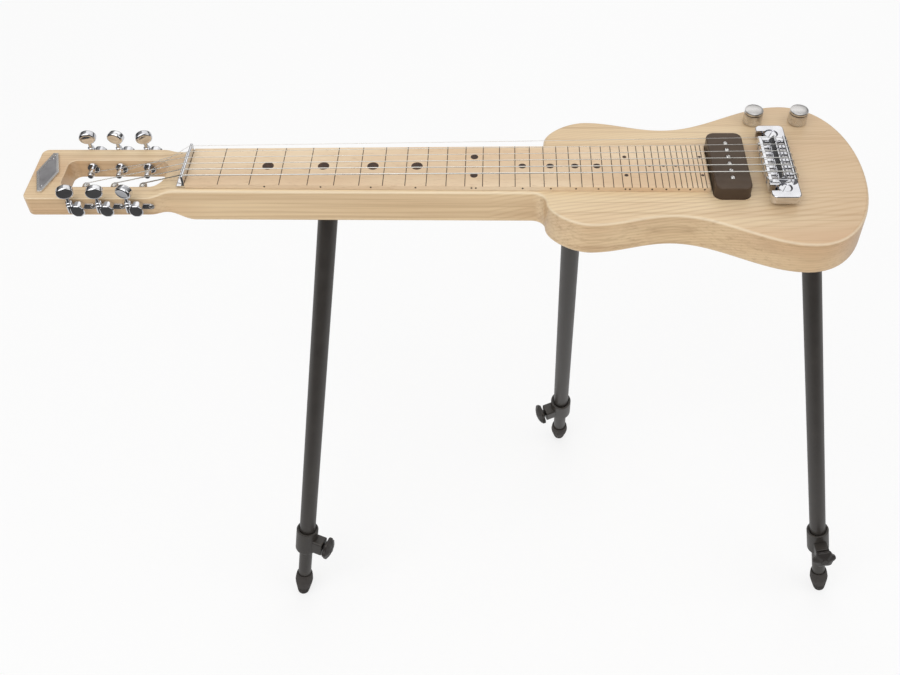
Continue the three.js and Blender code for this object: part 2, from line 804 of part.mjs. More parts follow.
// Button: oval grip, stem, collar and worm on one spindle
function tunerButton(turn) {
  const gripHeight = tunerAxisDepth + buttonCentreHeight;
  const collarFrom = wormTop + barrelRise + seatGap;
  const oval = new THREE.Shape();
  oval.absellipse(0, 0, buttonHalfWidth, buttonHalfHeight, 0, 2 * Math.PI, false, 0);
  const grip = prism(oval, -buttonThickness / 2, buttonThickness / 2, buttonEdge, buttonSteps);
  grip.rotateX(Math.PI / 2).rotateZ(turn).translate(0, 0, gripHeight);
  return combine(grip, [
    cylinder(wormRootRadius, -wormTop, wormTop + runGap, 'z', wormStepsPerTurn),
    cylinder(buttonShaftRadius, wormTop, gripHeight, 'z', tinySides),
    cylinder(buttonCollarRadius, collarFrom, collarFrom + buttonCollarLength, 'z', smallSides),
    wormThread(),
  ]);
}

function addTuners() {
  for (const side of [1, -1]) {
    tunerStations.forEach((station, row) => {
      const index = side > 0 ? row : stringCount - 1 - row;
      const number = index + 1;
      const machine = new THREE.Group();
      machine.position.set(-station, 0, -tunerAxisDepth);
      guitar.add(machine);
      addPiece(`tuner_housing_${number}`, tunerHousing(side), chrome(), machine);
      addPiece(`tuner_post_${number}`, tunerPost(side), chrome(), machine);
      const turn = 2 * Math.PI * buttonTurnShares[index];
      const button = addPiece(`tuner_button_${number}`, tunerButton(turn), chrome(), machine);
      button.position.set(-wormOffset, side * gearCentreY, 0);
    });
  }
}

// Pickup: an open-bottomed cover over a coil block with its keeper plate and six pole screws
function addPickup() {
  const outline = pickupOutline(0, pickupCornerRadius);
  const cover = prism(outline, -pickupDepth, pickupRise, pickupCrown, pickupSteps);
  const removed = [prism(pickupOutline(-pickupWall, pickupCornerRadius), -pickupDepth - overrun,
    pickupRise - pickupWall, 0, pickupSteps)];
  const centred = (length, width, from, to) => box(pickupStation - width / 2, pickupStation + width / 2,
    -length / 2, length / 2, from, to);
  const poles = [];
  for (let index = 0; index < stringCount; index += 1) {
    const hole = cylinder(poleRadius + seatGap, pickupRise - pickupWall - overrun, pickupRise + overrun,
      'z', smallSides);
    removed.push(hole.translate(pickupStation, stringY(index, polePitch), 0));
    const pole = cylinder(poleRadius, -pickupDepth, pickupRise + poleStandout, 'z', smallSides);
    poles.push(pole.translate(pickupStation, stringY(index, polePitch), 0));
  }
  addPiece('pickup_cover', combine(cover, [], removed), blackPlastic());
  const coilTop = pickupRise - pickupWall - seatGap;
  const keeper = centred(keeperLength, keeperWidth, -pickupDepth, keeperThickness - pickupDepth);
  const coil = prism(stadium(-coilReach, coilReach, 0, coilWidth / 2), coilTop - coilHeight, coilTop);
  coil.rotateZ(Math.PI / 2).translate(pickupStation, 0, 0);
  const core = centred(2 * coilReach, coreWidth, -pickupDepth, coilTop);
  addPiece('pickup_coil_and_poles', combine(keeper, [core, coil, ...poles]), coilTape());
}

// Bridge: a tray with forked ends that hook round two height studs
const wallArcCentre = vec2(bridgeWidth / 2 - bridgeRearRadius, bridgeRearHeight - bridgeRearRadius);

function bridgeTray() {
  const half = bridgeWidth / 2;
  const points = [
    [-half, bridgeClearance],
    [half, bridgeClearance],
  ];
  for (let step = 0; step <= rearWallSteps; step += 1) {
    const angle = (Math.PI / 2) * (step / rearWallSteps);
    points.push([wallArcCentre.x + bridgeRearRadius * Math.cos(angle),
      wallArcCentre.y + bridgeRearRadius * Math.sin(angle)]);
  }
  points.push(
    [half - bridgeRearWall, bridgeRearHeight],
    [half - bridgeRearWall, bridgeFloorHeight],
    [bridgeFrontWall - half, bridgeFloorHeight],
    [bridgeFrontWall - half, bridgeFrontHeight],
    [bridgeEdge - half, bridgeFrontHeight],
    [-half, bridgeFrontHeight - bridgeEdge],
  );
  return profileAlongY(points, -bridgeTrayHalf, bridgeTrayHalf);
}

function bridgeGeometry() {
  const half = bridgeWidth / 2;
  const joined = [];
  const removed = [];
  for (const side of [-1, 1]) {
    const studY = (side * studSpacing) / 2;
    const inner = 2 * bridgeEdge;
    const [low, high] = spanAcross(side, bridgeTrayHalf - inner, bridgeLength / 2);
    const corners = side > 0
      ? [inner, inner, bridgeLugCorner, bridgeLugCorner]
      : [bridgeLugCorner, bridgeLugCorner, inner, inner];
    const lug = roundedRect(-half, half, low, high, corners);
    joined.push(prism(lug, bridgeClearance, bridgeLugHeight, bridgeEdge, lugSteps, 1));
    const slot = studNeckRadius + runGap;
    removed.push(cylinder(studHeadRadius + runGap, studPocketFloor, bridgeLugHeight + overrun)
      .translate(0, studY, 0));
    removed.push(cylinder(slot, bridgeClearance - overrun, bridgeLugHeight)
      .translate(0, studY, 0));
    removed.push(box(-half - overrun, 0, studY - slot, studY + slot, bridgeClearance - overrun,
      bridgeLugHeight + overrun));
  }
  stringDiameters.forEach((diameter, index) => {
    const y = stringY(index, bridgeStringPitch);
    removed.push(cylinder(anchorHoleRadius, -half - overrun, half + overrun, 'x', tinySides)
      .translate(0, y, anchorHoleHeight));
    joined.push(cylinder(saddleScrewRadius, -half, half - bridgeRearWall + runGap, 'x', tinySides)
      .translate(0, y, saddleScrewHeight));
    joined.push(cylinder(screwHeadRadius, -half - screwHeadLength, -half + runGap, 'x', tinySides)
      .translate(0, y, saddleScrewHeight));
  });
  return combine(bridgeTray(), joined, removed);
}

function saddleGeometry(diameter) {
  const half = saddleLength / 2;
  const bottom = bridgeFloorHeight + seatGap;
  const top = bridgeStringHeight - diameter / 2 - seatGap;
  const shoulder = bottom + saddleShoulderShare * (top - bottom);
  const nose = saddleNoseShare * saddleLength;
  const profile = [
    [-half, bottom],
    [half, bottom],
    [half, shoulder],
    [nose, top],
    [-nose, top],
    [-half, shoulder],
  ];
  const bore = cylinder(saddleScrewRadius + runGap, -half - overrun, half + overrun, 'x', tinySides);
  return combine(profileAlongY(profile, -saddleWidth / 2, saddleWidth / 2), [],
    [bore.translate(0, 0, saddleScrewHeight)]);
}

function studGeometry() {
  const profile = [
    [0, studBottom],
    [studShankRadius, studBottom],
    [studShankRadius, studCollarBottom],
    [studCollarRadius, studCollarBottom],
    [studCollarRadius, studCollarTop],
    [studNeckRadius, studCollarTop],
    [studNeckRadius, studHeadBottom],
    [studHeadRadius, studHeadBottom],
    [studHeadRadius, studHeadTop - bridgeEdge],
    [studHeadRadius - bridgeEdge, studHeadTop],
    [0, studHeadTop],
  ];
  const reach = studHeadRadius + overrun;
  const driver = box(-reach, reach, -studDriverWidth / 2, studDriverWidth / 2,
    studHeadTop - studDriverDepth, studHeadTop + overrun);
  return combine(turned(profile), [], [driver.rotateZ(2 * Math.PI * studDriverTurnShare)]);
}

function addBridge() {
  const bridge = new THREE.Group();
  bridge.position.x = scaleLength;
  guitar.add(bridge);
  addPiece('bridge_body', bridgeGeometry(), chrome(), bridge);
  stringDiameters.forEach((diameter, index) => {
    const saddle = addPiece(`saddle_${index + 1}`, saddleGeometry(diameter), chrome(), bridge);
    saddle.position.y = stringY(index, bridgeStringPitch);
  });
  ['far', 'near'].forEach((name, index) => {
    const stud = addPiece(`bridge_stud_${name}`, studGeometry(), chrome(), bridge);
    stud.position.y = (index === 0 ? studSpacing : -studSpacing) / 2;
  });
}

// Strings: one unbroken wire each, from its ball end at the bridge to its turns on the post
function tangentAngle(centre, radius, point, sign) {
  const reach = vec2(point.x - centre.x, point.y - centre.y);
  return reach.angle() + sign * Math.acos(radius / reach.length());
}

function stringRoute(index) {
  const radius = stringDiameters[index] / 2;
  const side = index < stringCount / 2 ? 1 : -1;
  const row = side > 0 ? index : stringCount - 1 - index;
  const bridgeY = stringY(index, bridgeStringPitch);
  const nutY = stringY(index, nutStringPitch);
  const points = [];

  // Out of the ball, through the anchor hole and up the back of the bridge
  const bridgeAt = (x, z) => points.push(vec3(scaleLength + x, bridgeY, z));
  const half = bridgeWidth / 2;
  const standoff = radius + seatGap;
  bridgeAt(-half - seatGap - ballEndRadius, anchorHoleHeight);
  const turn = anchorTurnRadius;
  for (let step = 0; step <= anchorTurnSteps; step += 1) {
    const angle = (Math.PI / 2) * (step / anchorTurnSteps);
    const outward = half + standoff - turn + turn * Math.sin(angle);
    bridgeAt(outward, anchorHoleHeight + turn - turn * Math.cos(angle));
  }
  const crestEnd = vec2(saddleTravel + saddleNoseShare * saddleLength + runGap, bridgeStringHeight);
  const overWall = tangentAngle(wallArcCentre, bridgeRearRadius + standoff, crestEnd, -1);
  for (let step = 0; step <= rearWallSteps; step += 1) {
    const angle = overWall * (step / rearWallSteps);
    bridgeAt(wallArcCentre.x + (bridgeRearRadius + standoff) * Math.cos(angle),
      wallArcCentre.y + (bridgeRearRadius + standoff) * Math.sin(angle));
  }
  bridgeAt(crestEnd.x, crestEnd.y);
  bridgeAt(0, bridgeStringHeight);

  // Over the nut and down to the top of the post
  const post = vec2(-tunerStations[row], -tunerAxisDepth);
  const coil = postWaistRadius + seatGap + radius;
  const arrival = waistStart + radius + runGap;
  const nutBack = vec2(-nutBladeThickness, nutStringHeight);
  points.push(vec3(0, nutY, nutStringHeight));
  points.push(vec3(nutBack.x, nutY, nutBack.y));
  const start = tangentAngle(post, coil, nutBack, 1);
  const steps = windingTurns * windingStepsPerTurn;
  const pitch = 2 * radius + windingGap;
  const winding = [];
  for (let step = 0; step <= steps; step += 1) {
    const angle = start + (2 * Math.PI * step) / windingStepsPerTurn;
    const y = arrival + (pitch * step) / windingStepsPerTurn;
    winding.push(vec3(post.x + coil * Math.cos(angle), side * y, post.y + coil * Math.sin(angle)));
  }
  return { points: [...points, ...winding], winding };
}

function leastGap(points, diameter, stepsApart) {
  let least = Infinity;
  points.forEach((point, index) => {
    for (const other of points.slice(index + stepsApart)) {
      least = Math.min(least, point.distanceTo(other) - diameter);
    }
  });
  return least;
}

function addStrings() {
  stringDiameters.forEach((diameter, index) => {
    const { points, winding } = stringRoute(index);
    const ball = cylinder(ballEndRadius, -ballEndLength / 2, ballEndLength / 2, 'y', tinySides);
    ball.translate(points[0].x, points[0].y, points[0].z);
    addPiece(`string_${index + 1}`, combine(wire(points, diameter / 2), [ball]), steel());
    const gap = leastGap(winding, diameter, windingStepsPerTurn - 1);
    console.log(`string_${index + 1}: least gap between turns ${gap.toFixed(2)} mm`);
  });
}

// Controls: knobs on their shafts, potentiometers under the deck, rear cover and side jack
function knobGeometry() {
  const flutes = knobFlutes * 2;
  const bottom = knobSkirtClearance;
  const capBottom = knobHeight - knobCapHeight;
  const grooveBottom = capBottom - knobGrooveHeight;
  const outline = [];
  for (let flute = 0; flute < flutes; flute += 1) {
    const radius = knobRadius - (flute % 2) * knobFluteDepth;
    const angle = (2 * Math.PI * flute) / flutes;
    outline.push(vec2(radius * Math.cos(angle), radius * Math.sin(angle)));
  }
  const skirt = prism(new THREE.Shape(outline), bottom, grooveBottom);
  const cap = turned([
    [0, grooveBottom - overrun],
    [knobRadius - knobGrooveDepth, grooveBottom - overrun],
    [knobRadius - knobGrooveDepth, capBottom],
    [knobRadius - knobFluteDepth, capBottom],
    [knobRadius - knobFluteDepth, knobHeight - knobDome],
    [knobRadius - knobDome, knobHeight - knobFluteDepth],
    [0, knobHeight],
  ]);
  const shaftTop = bottom + knobHollowHeight + overrun;
  const shaft = cylinder(potShaftRadius, potShaftBottom, shaftTop, 'z', smallSides);
  const hollow = cylinder(knobHollowRadius, bottom - overrun, bottom + knobHollowHeight);
  return combine(combine(skirt, [cap], [hollow]), [shaft]);
}

function potGeometry() {
  const profile = [
    [0, potTop - potHeight],
    [potRadius, potTop - potHeight],
    [potRadius, potTop],
    [potBushRadius, potTop],
    [potBushRadius, seatGap],
    [potNutRadius, seatGap],
    [potNutRadius, seatGap + potNutHeight],
    [potBushRadius, seatGap + potNutHeight],
    [potBushRadius, potBushRise],
    [potShaftRadius + runGap, potBushRise],
    [potShaftRadius + runGap, potShaftBottom - runGap],
    [0, potShaftBottom - runGap],
  ];
  return turned(profile, smallSides);
}

function jackGeometry() {
  const face = jackPlateThickness + jackNutHeight;
  const profile = [
    [0, -jackBarrelLength],
    [jackBarrelRadius, -jackBarrelLength],
    [jackBarrelRadius, 0],
    [jackPlateRadius, 0],
    [jackPlateRadius, jackPlateThickness],
    [jackNutRadius, jackPlateThickness],
    [jackNutRadius, face],
    [jackSocketRadius, face],
    [jackSocketRadius, face - jackSocketDepth],
    [0, face - jackSocketDepth],
  ];
  return turned(profile).rotateX(-Math.PI / 2);
}

function addControls() {
  ['volume', 'tone'].forEach((name, index) => {
    const centre = knobCentres[index];
    const pot = addPiece(`${name}_potentiometer`, potGeometry(), steel());
    const knob = addPiece(`${name}_knob`, knobGeometry(), chrome());
    for (const piece of [pot, knob]) piece.position.set(centre.x, centre.y, 0);
  });
  const jack = addPiece('output_jack', jackGeometry(), chrome());
  jack.position.set(jackStation, jackSeatY + seatGap, -jackDepthBelowDeck);
  const plate = controlPocket(cavityLedge - seatGap);
  addPiece('control_cavity_cover', prism(plate, -plankThickness, coverPlateThickness - plankThickness),
    blackPlastic());
}

// Legs. Heights here run up the leg from the plank's underside, so that all of a leg lies below zero.
const legTop = -socketBossHeight - seatGap;
const collarBottom = legTop - upperTubeLength;
const footTop = collarBottom - lowerTubeExposed;
const legEnd = footTop - footHeight;
const clampCentre = collarBottom + clampCentreRise;
const tubeBore = upperTubeRadius - upperTubeWall;

function legSocket(seat) {
  const matrix = legMatrix(seat);
  const underside = -plankThickness - seatGap;
  const flange = cylinder(socketFlangeRadius, underside - socketFlangeThickness, underside)
    .translate(seat.station, seat.across, 0);
  const boss = cylinder(socketBossRadius, -socketBossHeight, socketBossHeight).applyMatrix4(matrix);
  const bore = cylinder(legStudRadius + 2 * seatGap, -socketBossHeight - overrun, socketBossHeight,
    'z', smallSides);
  const reach = socketFlangeRadius + overrun;
  const above = box(seat.station - reach, seat.station + reach, seat.across - reach, seat.across + reach,
    underside, underside + socketFlangeRadius);
  return combine(flange, [boss], [bore.applyMatrix4(matrix), above]);
}

function upperLeg(seat) {
  const collarTop = collarBottom + collarHeight;
  const collar = turned([
    [0, collarBottom],
    [collarRadius - collarEdge, collarBottom],
    [collarRadius, collarBottom + collarEdge],
    [collarRadius, collarTop - collarEdge],
    [collarRadius - collarEdge, collarTop],
    [0, collarTop],
  ]);
  const block = box(0, clampReach, -clampWidth / 2, clampWidth / 2, -clampHeight / 2, clampHeight / 2);
  const clampHole = cylinder(screwRadius + runGap, 0, clampReach + overrun, 'x', smallSides);
  const turn = deg(seat.screwDeg);
  const joined = [
    collar,
    block.rotateZ(turn).translate(0, 0, clampCentre),
    cylinder(legStudRadius, legTop - legPlugLength, legTop + legStudLength, 'z', smallSides),
  ];
  const removed = [
    cylinder(tubeBore, collarBottom - overrun, legTop - legPlugLength),
    clampHole.rotateZ(turn).translate(0, 0, clampCentre),
  ];
  return combine(cylinder(upperTubeRadius, collarBottom + collarEdge, legTop), joined, removed);
}

function lowerLeg() {
  const bottom = footTop - lowerTubeInFoot + seatGap;
  const top = collarBottom + lowerTubeHidden;
  const inner = lowerTubeRadius - lowerTubeWall;
  return turned([
    [inner, bottom],
    [lowerTubeRadius, bottom],
    [lowerTubeRadius, top],
    [inner, top],
    [inner, bottom],
  ]);
}

// The foot is cut flat where it stands
function rubberFoot(seat) {
  const lowest = legEnd - footFlatDepth - footDomeDepth;
  const rise = footHeight + footFlatDepth + footDomeDepth;
  const profile = [[0, lowest]];
  footHeightShares.forEach((share, index) => {
    profile.push([footRadius * footRadiusShares[index], lowest + share * rise]);
  });
  profile.push([0, footTop]);
  const reach = footRadius + footHeight;
  const floor = box(-reach, reach, -reach, reach, -reach, 0);
  const flat = new THREE.Matrix4().makeRotationY(deg(legTiltDeg)).setPosition(0, 0, legEnd);
  const bore = cylinder(lowerTubeRadius + seatGap, footTop - lowerTubeInFoot, footTop + overrun);
  return combine(turned(profile), [], [bore, floor.applyMatrix4(flat)]);
}

// Drawn along +X, away from the leg
function clampScrew() {
  const outline = [];
  for (let step = 0; step < thumbLobes * thumbStepsPerLobe; step += 1) {
    const angle = (2 * Math.PI * step) / (thumbLobes * thumbStepsPerLobe);
    const radius = thumbRadius * (1 - (thumbLobeShare * (1 - Math.cos(thumbLobes * angle))) / 2);
    outline.push(vec2(radius * Math.cos(angle), radius * Math.sin(angle)));
  }
  const hubStart = clampReach + seatGap;
  const grip = prism(new THREE.Shape(outline), thumbStart, thumbStart + thumbThickness, thumbEdge, 1, 1);
  return combine(grip.rotateY(Math.PI / 2), [
    cylinder(thumbHubRadius, hubStart, thumbStart + thumbEdge, 'x', smallSides),
    cylinder(screwRadius, lowerTubeRadius + runGap, thumbStart + thumbEdge, 'x', smallSides),
  ]);
}

function addLegs() {
  for (const seat of legSeats) {
    addPiece(`leg_socket_${seat.name}`, legSocket(seat), chrome());
    const leg = new THREE.Group();
    leg.applyMatrix4(legMatrix(seat));
    guitar.add(leg);
    addPiece(`upper_leg_${seat.name}`, upperLeg(seat), blackPaint(), leg);
    addPiece(`lower_leg_${seat.name}`, lowerLeg(), blackPaint(), leg);
    addPiece(`rubber_foot_${seat.name}`, rubberFoot(seat), rubber(), leg);
    const screw = addPiece(`clamp_screw_${seat.name}`, clampScrew(), blackPaint(), leg);
    screw.rotation.z = deg(seat.screwDeg);
    screw.position.z = clampCentre;
  }
}

addPlank();
addFretboard();
addNut();
addTuners();
addPickup();
addBridge();
addStrings();
addControls();
addLegs();

// The origin is under the middle of the whole object, on the floor
const extent = new THREE.Box3().setFromObject(guitar, true);
const middle = extent.getCenter(new THREE.Vector3());
guitar.position.set(-middle.x, -middle.y, -extent.min.z);
const lapSteel = new THREE.Group();
lapSteel.add(guitar);

export default lapSteel;
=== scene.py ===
"""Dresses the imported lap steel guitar: smooth pieces round the frame, their finishes, light and camera."""

import logging
import math
from contextlib import contextmanager
from dataclasses import dataclass, field
from enum import Enum
from typing import Any, Callable, ClassVar, Iterator, Sequence

import bmesh
import bpy
from mathutils import Matrix, Vector

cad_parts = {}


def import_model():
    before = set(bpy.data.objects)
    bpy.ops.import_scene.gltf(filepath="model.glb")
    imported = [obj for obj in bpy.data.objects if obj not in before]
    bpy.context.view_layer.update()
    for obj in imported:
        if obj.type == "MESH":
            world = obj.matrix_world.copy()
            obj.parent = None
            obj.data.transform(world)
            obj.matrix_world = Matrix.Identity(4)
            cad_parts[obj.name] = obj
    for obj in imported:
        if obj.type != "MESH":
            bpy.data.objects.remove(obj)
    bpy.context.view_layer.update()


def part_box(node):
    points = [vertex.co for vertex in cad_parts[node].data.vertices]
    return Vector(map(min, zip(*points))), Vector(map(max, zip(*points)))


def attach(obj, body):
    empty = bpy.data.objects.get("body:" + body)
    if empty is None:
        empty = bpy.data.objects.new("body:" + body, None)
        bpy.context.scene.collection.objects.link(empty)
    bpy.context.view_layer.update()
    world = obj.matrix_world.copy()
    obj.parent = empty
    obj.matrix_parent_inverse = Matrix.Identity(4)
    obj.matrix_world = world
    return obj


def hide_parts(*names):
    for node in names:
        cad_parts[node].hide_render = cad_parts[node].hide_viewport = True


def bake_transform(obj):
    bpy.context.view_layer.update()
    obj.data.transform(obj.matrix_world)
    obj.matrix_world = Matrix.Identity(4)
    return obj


log = logging.getLogger("lap_steel")

MM = 0.001
TURN = 2 * math.pi
WELD = 1e-4
LEVEL = 1e-3

Point2 = tuple[float, float]
Point3 = tuple[float, float, float]
Span = tuple[float, float, float, float]
Colour = tuple[float, float, float, float]
Object = bpy.types.Object
Material = bpy.types.Material
Socket = bpy.types.NodeSocket


class Axis(Enum):
    """The direction along which an outline is pushed out."""

    X = 0
    Y = 1
    Z = 2

    def place(self, point: Point2, height: float) -> Vector:
        """Puts a point of the outline at a height along the axis.

        Args:
            point: The outline's two coordinates, in the order X, Y, Z without the axis itself.
            height: The place along the axis.

        Returns:
            The point in space.
        """
        spot = list(point)
        spot.insert(self.value, height)
        return Vector(spot)

    @property
    def direction(self) -> Vector:
        """The unit vector along the axis."""
        return self.place((0, 0), 1)


class Rims(Enum):
    """Which rims of a slab are rounded, as places in its pair of heights."""

    BOTH = (0, 1)
    LOW = (0,)
    HIGH = (1,)


class Slot(Enum):
    """The names of the material slots."""

    ASH = "ash_body"
    BOARD = "fretboard_wood"
    CHROME = "chrome_hardware"
    STEEL = "string_steel"
    PLASTIC = "black_plastic"
    COIL = "coil_and_poles"
    PLATED = "plated_steel"
    PAINT = "leg_paint"
    RUBBER = "foot_rubber"


def rgb(red: int, green: int, blue: int) -> Colour:
    """Turns a screen colour into the linear one that a shader takes.

    Args:
        red: Red, from 0 to 255.
        green: Green, from 0 to 255.
        blue: Blue, from 0 to 255.

    Returns:
        The linear colour with full alpha.
    """
    linear = [((part / 255 + 0.055) / 1.055) ** 2.4 if part > 10 else part / 255 / 12.92
              for part in (red, green, blue)]
    return linear[0], linear[1], linear[2], 1.0


def arc(centre: Point2, radius: float, start: float, end: float, steps: int) -> list[Point2]:
    """Points along an arc, both ends included.

    Args:
        centre: The arc's centre.
        radius: Its radius.
        start: The angle of the first point, in turns.
        end: The angle of the last point, in turns.
        steps: How many chords stand for the arc.

    Returns:
        The points in order.
    """
    angles = [TURN * (start + (end - start) * step / steps) for step in range(steps + 1)]
    return [(centre[0] + radius * math.cos(angle), centre[1] + radius * math.sin(angle)) for angle in angles]


def bezier(start: Point2, leave: Point2, arrive: Point2, end: Point2, steps: int) -> list[Point2]:
    """Points along a cubic curve, without its first point.

    Args:
        start: Where the curve starts.
        leave: The handle that it leaves toward.
        arrive: The handle that it arrives from.
        end: Where the curve ends.
        steps: How many chords stand for the curve.

    Returns:
        The points in order.
    """
    points = []
    for step in range(1, steps + 1):
        t = step / steps
        weights = ((1 - t) ** 3, 3 * t * (1 - t) ** 2, 3 * t * t * (1 - t), t ** 3)
        corners = (start, leave, arrive, end)
        points.append(tuple(sum(w * corner[i] for w, corner in zip(weights, corners)) for i in (0, 1)))
    return points


def rounded_box(low: Point2, high: Point2, radii: Sequence[float], steps: int = 8) -> list[Point2]:
    """A rectangle with rounded corners.

    Args:
        low: Its lowest corner.
        high: Its highest corner.
        radii: The four corner radii, from the lowest corner round through the one at high X and low Y.
        steps: Chords in each corner.

    Returns:
        The outline's points.
    """
    spots = [(low[0], low[1], 1, 1), (high[0], low[1], -1, 1), (high[0], high[1], -1, -1),
             (low[0], high[1], 1, -1)]
    outline = []
    for (x, y, inward_x, inward_y), radius, quarter in zip(spots, radii, (0.5, 0.75, 0.0, 0.25)):
        centre = (x + inward_x * radius, y + inward_y * radius)
        outline += arc(centre, radius, quarter, quarter + 0.25, steps)
    return outline


def stadium(start: Point2, end: Point2, radius: float, steps: int = 16) -> list[Point2]:
    """An outline with round ends about two centres.

    Args:
        start: The first centre.
        end: The second centre.
        radius: The radius of both ends.
        steps: Chords in each end.

    Returns:
        The outline's points.
    """
    along = math.atan2(end[1] - start[1], end[0] - start[0]) / TURN
    return (arc(end, radius, along - 0.25, along + 0.25, steps)
            + arc(start, radius, along + 0.25, along + 0.75, steps))


def around(radii: Sequence[float], shift: float = 0.0) -> list[Point2]:
    """Points at even steps round the origin.

    Args:
        radii: The distance of each point.
        shift: How far the first point is turned on, in steps.

    Returns:
        The points in order.
    """
    angles = [TURN * (step + shift) / len(radii) for step in range(len(radii))]
    return [(radius * math.cos(angle), radius * math.sin(angle)) for radius, angle in zip(radii, angles)]


def level(points: Sequence[Vector], height: float, axis: Axis = Axis.Z) -> bool:
    """Whether all the points lie at one height along an axis."""
    return all(abs(point[axis.value] - height) < LEVEL for point in points)


def moved(x: float, y: float, z: float) -> Matrix:
    """A move along the three axes."""
    return Matrix.Translation((x, y, z))


def turned(share: float, axis: str) -> Matrix:
    """A share of a full turn about an axis."""
    return Matrix.Rotation(TURN * share, 4, axis)


@contextmanager
def edit_mode(piece: Object) -> Iterator[None]:
    """Opens a piece in edit mode, with nothing else selected.

    Args:
        piece: The piece to edit.
    """
    select_only(piece)
    bpy.ops.object.mode_set(mode="EDIT")
    bpy.ops.mesh.select_mode(type="VERT")
    try:
        yield
    finally:
        bpy.ops.object.mode_set(mode="OBJECT")


def select_only(*pieces: Object) -> None:
    """Selects these pieces and nothing else, and makes the first one active."""
    bpy.ops.object.select_all(action="DESELECT")
    for piece in pieces:
        piece.select_set(True)
    bpy.context.view_layer.objects.active = pieces[0]


def pick(piece: Object, kind: str, test: Callable[[list[Vector]], bool]) -> None:
    """Selects, in edit mode, the elements whose corners pass a test.

    Args:
        piece: The piece that is open.
        kind: VERT, EDGE or FACE.
        test: Says yes or no to an element's corners.
    """
    bpy.ops.mesh.select_mode(type=kind)
    bpy.ops.mesh.select_all(action="DESELECT")
    mesh = bmesh.from_edit_mesh(piece.data)
    elements = {"VERT": mesh.verts, "EDGE": mesh.edges, "FACE": mesh.faces}[kind]
    for element in elements:
        corners = [element.co] if kind == "VERT" else [corner.co for corner in element.verts]
        if test(corners):
            element.select_set(True)
    bmesh.update_edit_mesh(piece.data)


def draw(name: str, points: Sequence[Vector], closed: bool) -> Object:
    """Draws a line by pulling one corner along its points.

    Args:
        name: The new piece's name.
        points: The line's points, in millimetres.
        closed: Whether the last point joins the first and the inside becomes a face.

    Returns:
        The new piece.
    """
    bpy.ops.object.select_all(action="DESELECT")
    bpy.ops.mesh.primitive_plane_add(size=1)
    piece = bpy.context.object
    piece.name = name
    with edit_mode(piece):
        bpy.ops.mesh.select_all(action="SELECT")
        bpy.ops.mesh.merge(type="CENTER")
        bpy.ops.transform.translate(value=points[0])
        for here, there in zip(points, points[1:]):
            bpy.ops.mesh.extrude_vertices_move(TRANSFORM_OT_translate={"value": there - here})
        if closed:
            bpy.ops.mesh.select_all(action="SELECT")
            bpy.ops.mesh.edge_face_add()
    return piece


def tidy_outline(points: Sequence[Point2]) -> list[Point2]:
    """Drops points that repeat their neighbour, also across the end."""
    return [here for here, after in zip(points, [*points[1:], points[0]]) if math.dist(here, after) > WELD]


def face_outward() -> None:
    """Turns all the faces of the open piece outwards."""
    bpy.ops.mesh.select_all(action="SELECT")
    bpy.ops.mesh.normals_make_consistent(inside=False)


def slice_through(place: Point3, normal: Point3, **settings: Any) -> None:
    """Slices the open piece on a plane, with the knife's own settings."""
    bpy.ops.mesh.select_all(action="SELECT")
    bpy.ops.mesh.bisect(plane_co=place, plane_no=normal, **settings)


def slab(name: str, outline: Sequence[Point2], low: float, high: float, axis: Axis = Axis.Z,
         edge: float = 0.0, segments: int = 3, ends: Rims = Rims.BOTH) -> Object:
    """Pushes an outline out into a solid and rounds its rims.

    Args:
        name: The new piece's name.
        outline: The closed outline.
        low: Where the solid starts along the axis.
        high: Where it ends.
        axis: The axis.
        edge: The rounding of the rims, or zero for none.
        segments: Steps in the rounding.
        ends: Which rims are rounded.

    Returns:
        The new solid.
    """
    piece = draw(name, [axis.place(point, low) for point in tidy_outline(outline)], closed=True)
    with edit_mode(piece):
        bpy.ops.mesh.select_all(action="SELECT")
        bpy.ops.mesh.extrude_region_move(TRANSFORM_OT_translate={"value": axis.direction * (high - low)})
        face_outward()
        if edge:
            rims = [(low, high)[end] for end in ends.value]
            pick(piece, "EDGE", lambda corners: any(level(corners, rim, axis) for rim in rims))
            bpy.ops.mesh.bevel(offset=edge, segments=segments, affect="EDGES")
    return piece


def lathe(name: str, profile: Sequence[Point2], steps: int = 48, axis: Axis = Axis.Z,
          closed: bool = False) -> Object:
    """Turns a profile of radius and height about an axis.

    Args:
        name: The new piece's name.
        profile: Pairs of radius and height. An open profile starts and ends on the axis.
        steps: Faces round the axis.
        axis: The axis, through the origin.
        closed: Whether the profile closes on itself, as a tube's wall does.

    Returns:
        The new solid.
    """
    spots = [*profile, profile[0]] if closed else profile
    piece = draw(name, [axis.place((radius, 0), height) for radius, height in spots], closed=False)
    with edit_mode(piece):
        bpy.ops.mesh.select_all(action="SELECT")
        bpy.ops.mesh.spin(steps=steps, angle=TURN, center=(0, 0, 0), axis=axis.direction)
        bpy.ops.mesh.select_all(action="SELECT")
        bpy.ops.mesh.remove_doubles(threshold=WELD)
        face_outward()
    return piece


def name_new(name: str) -> Object:
    """Names the primitive that was just added, and puts its place into its mesh."""
    bpy.context.object.name = name
    bpy.ops.object.transform_apply(location=True, rotation=True, scale=True)
    return bpy.context.object


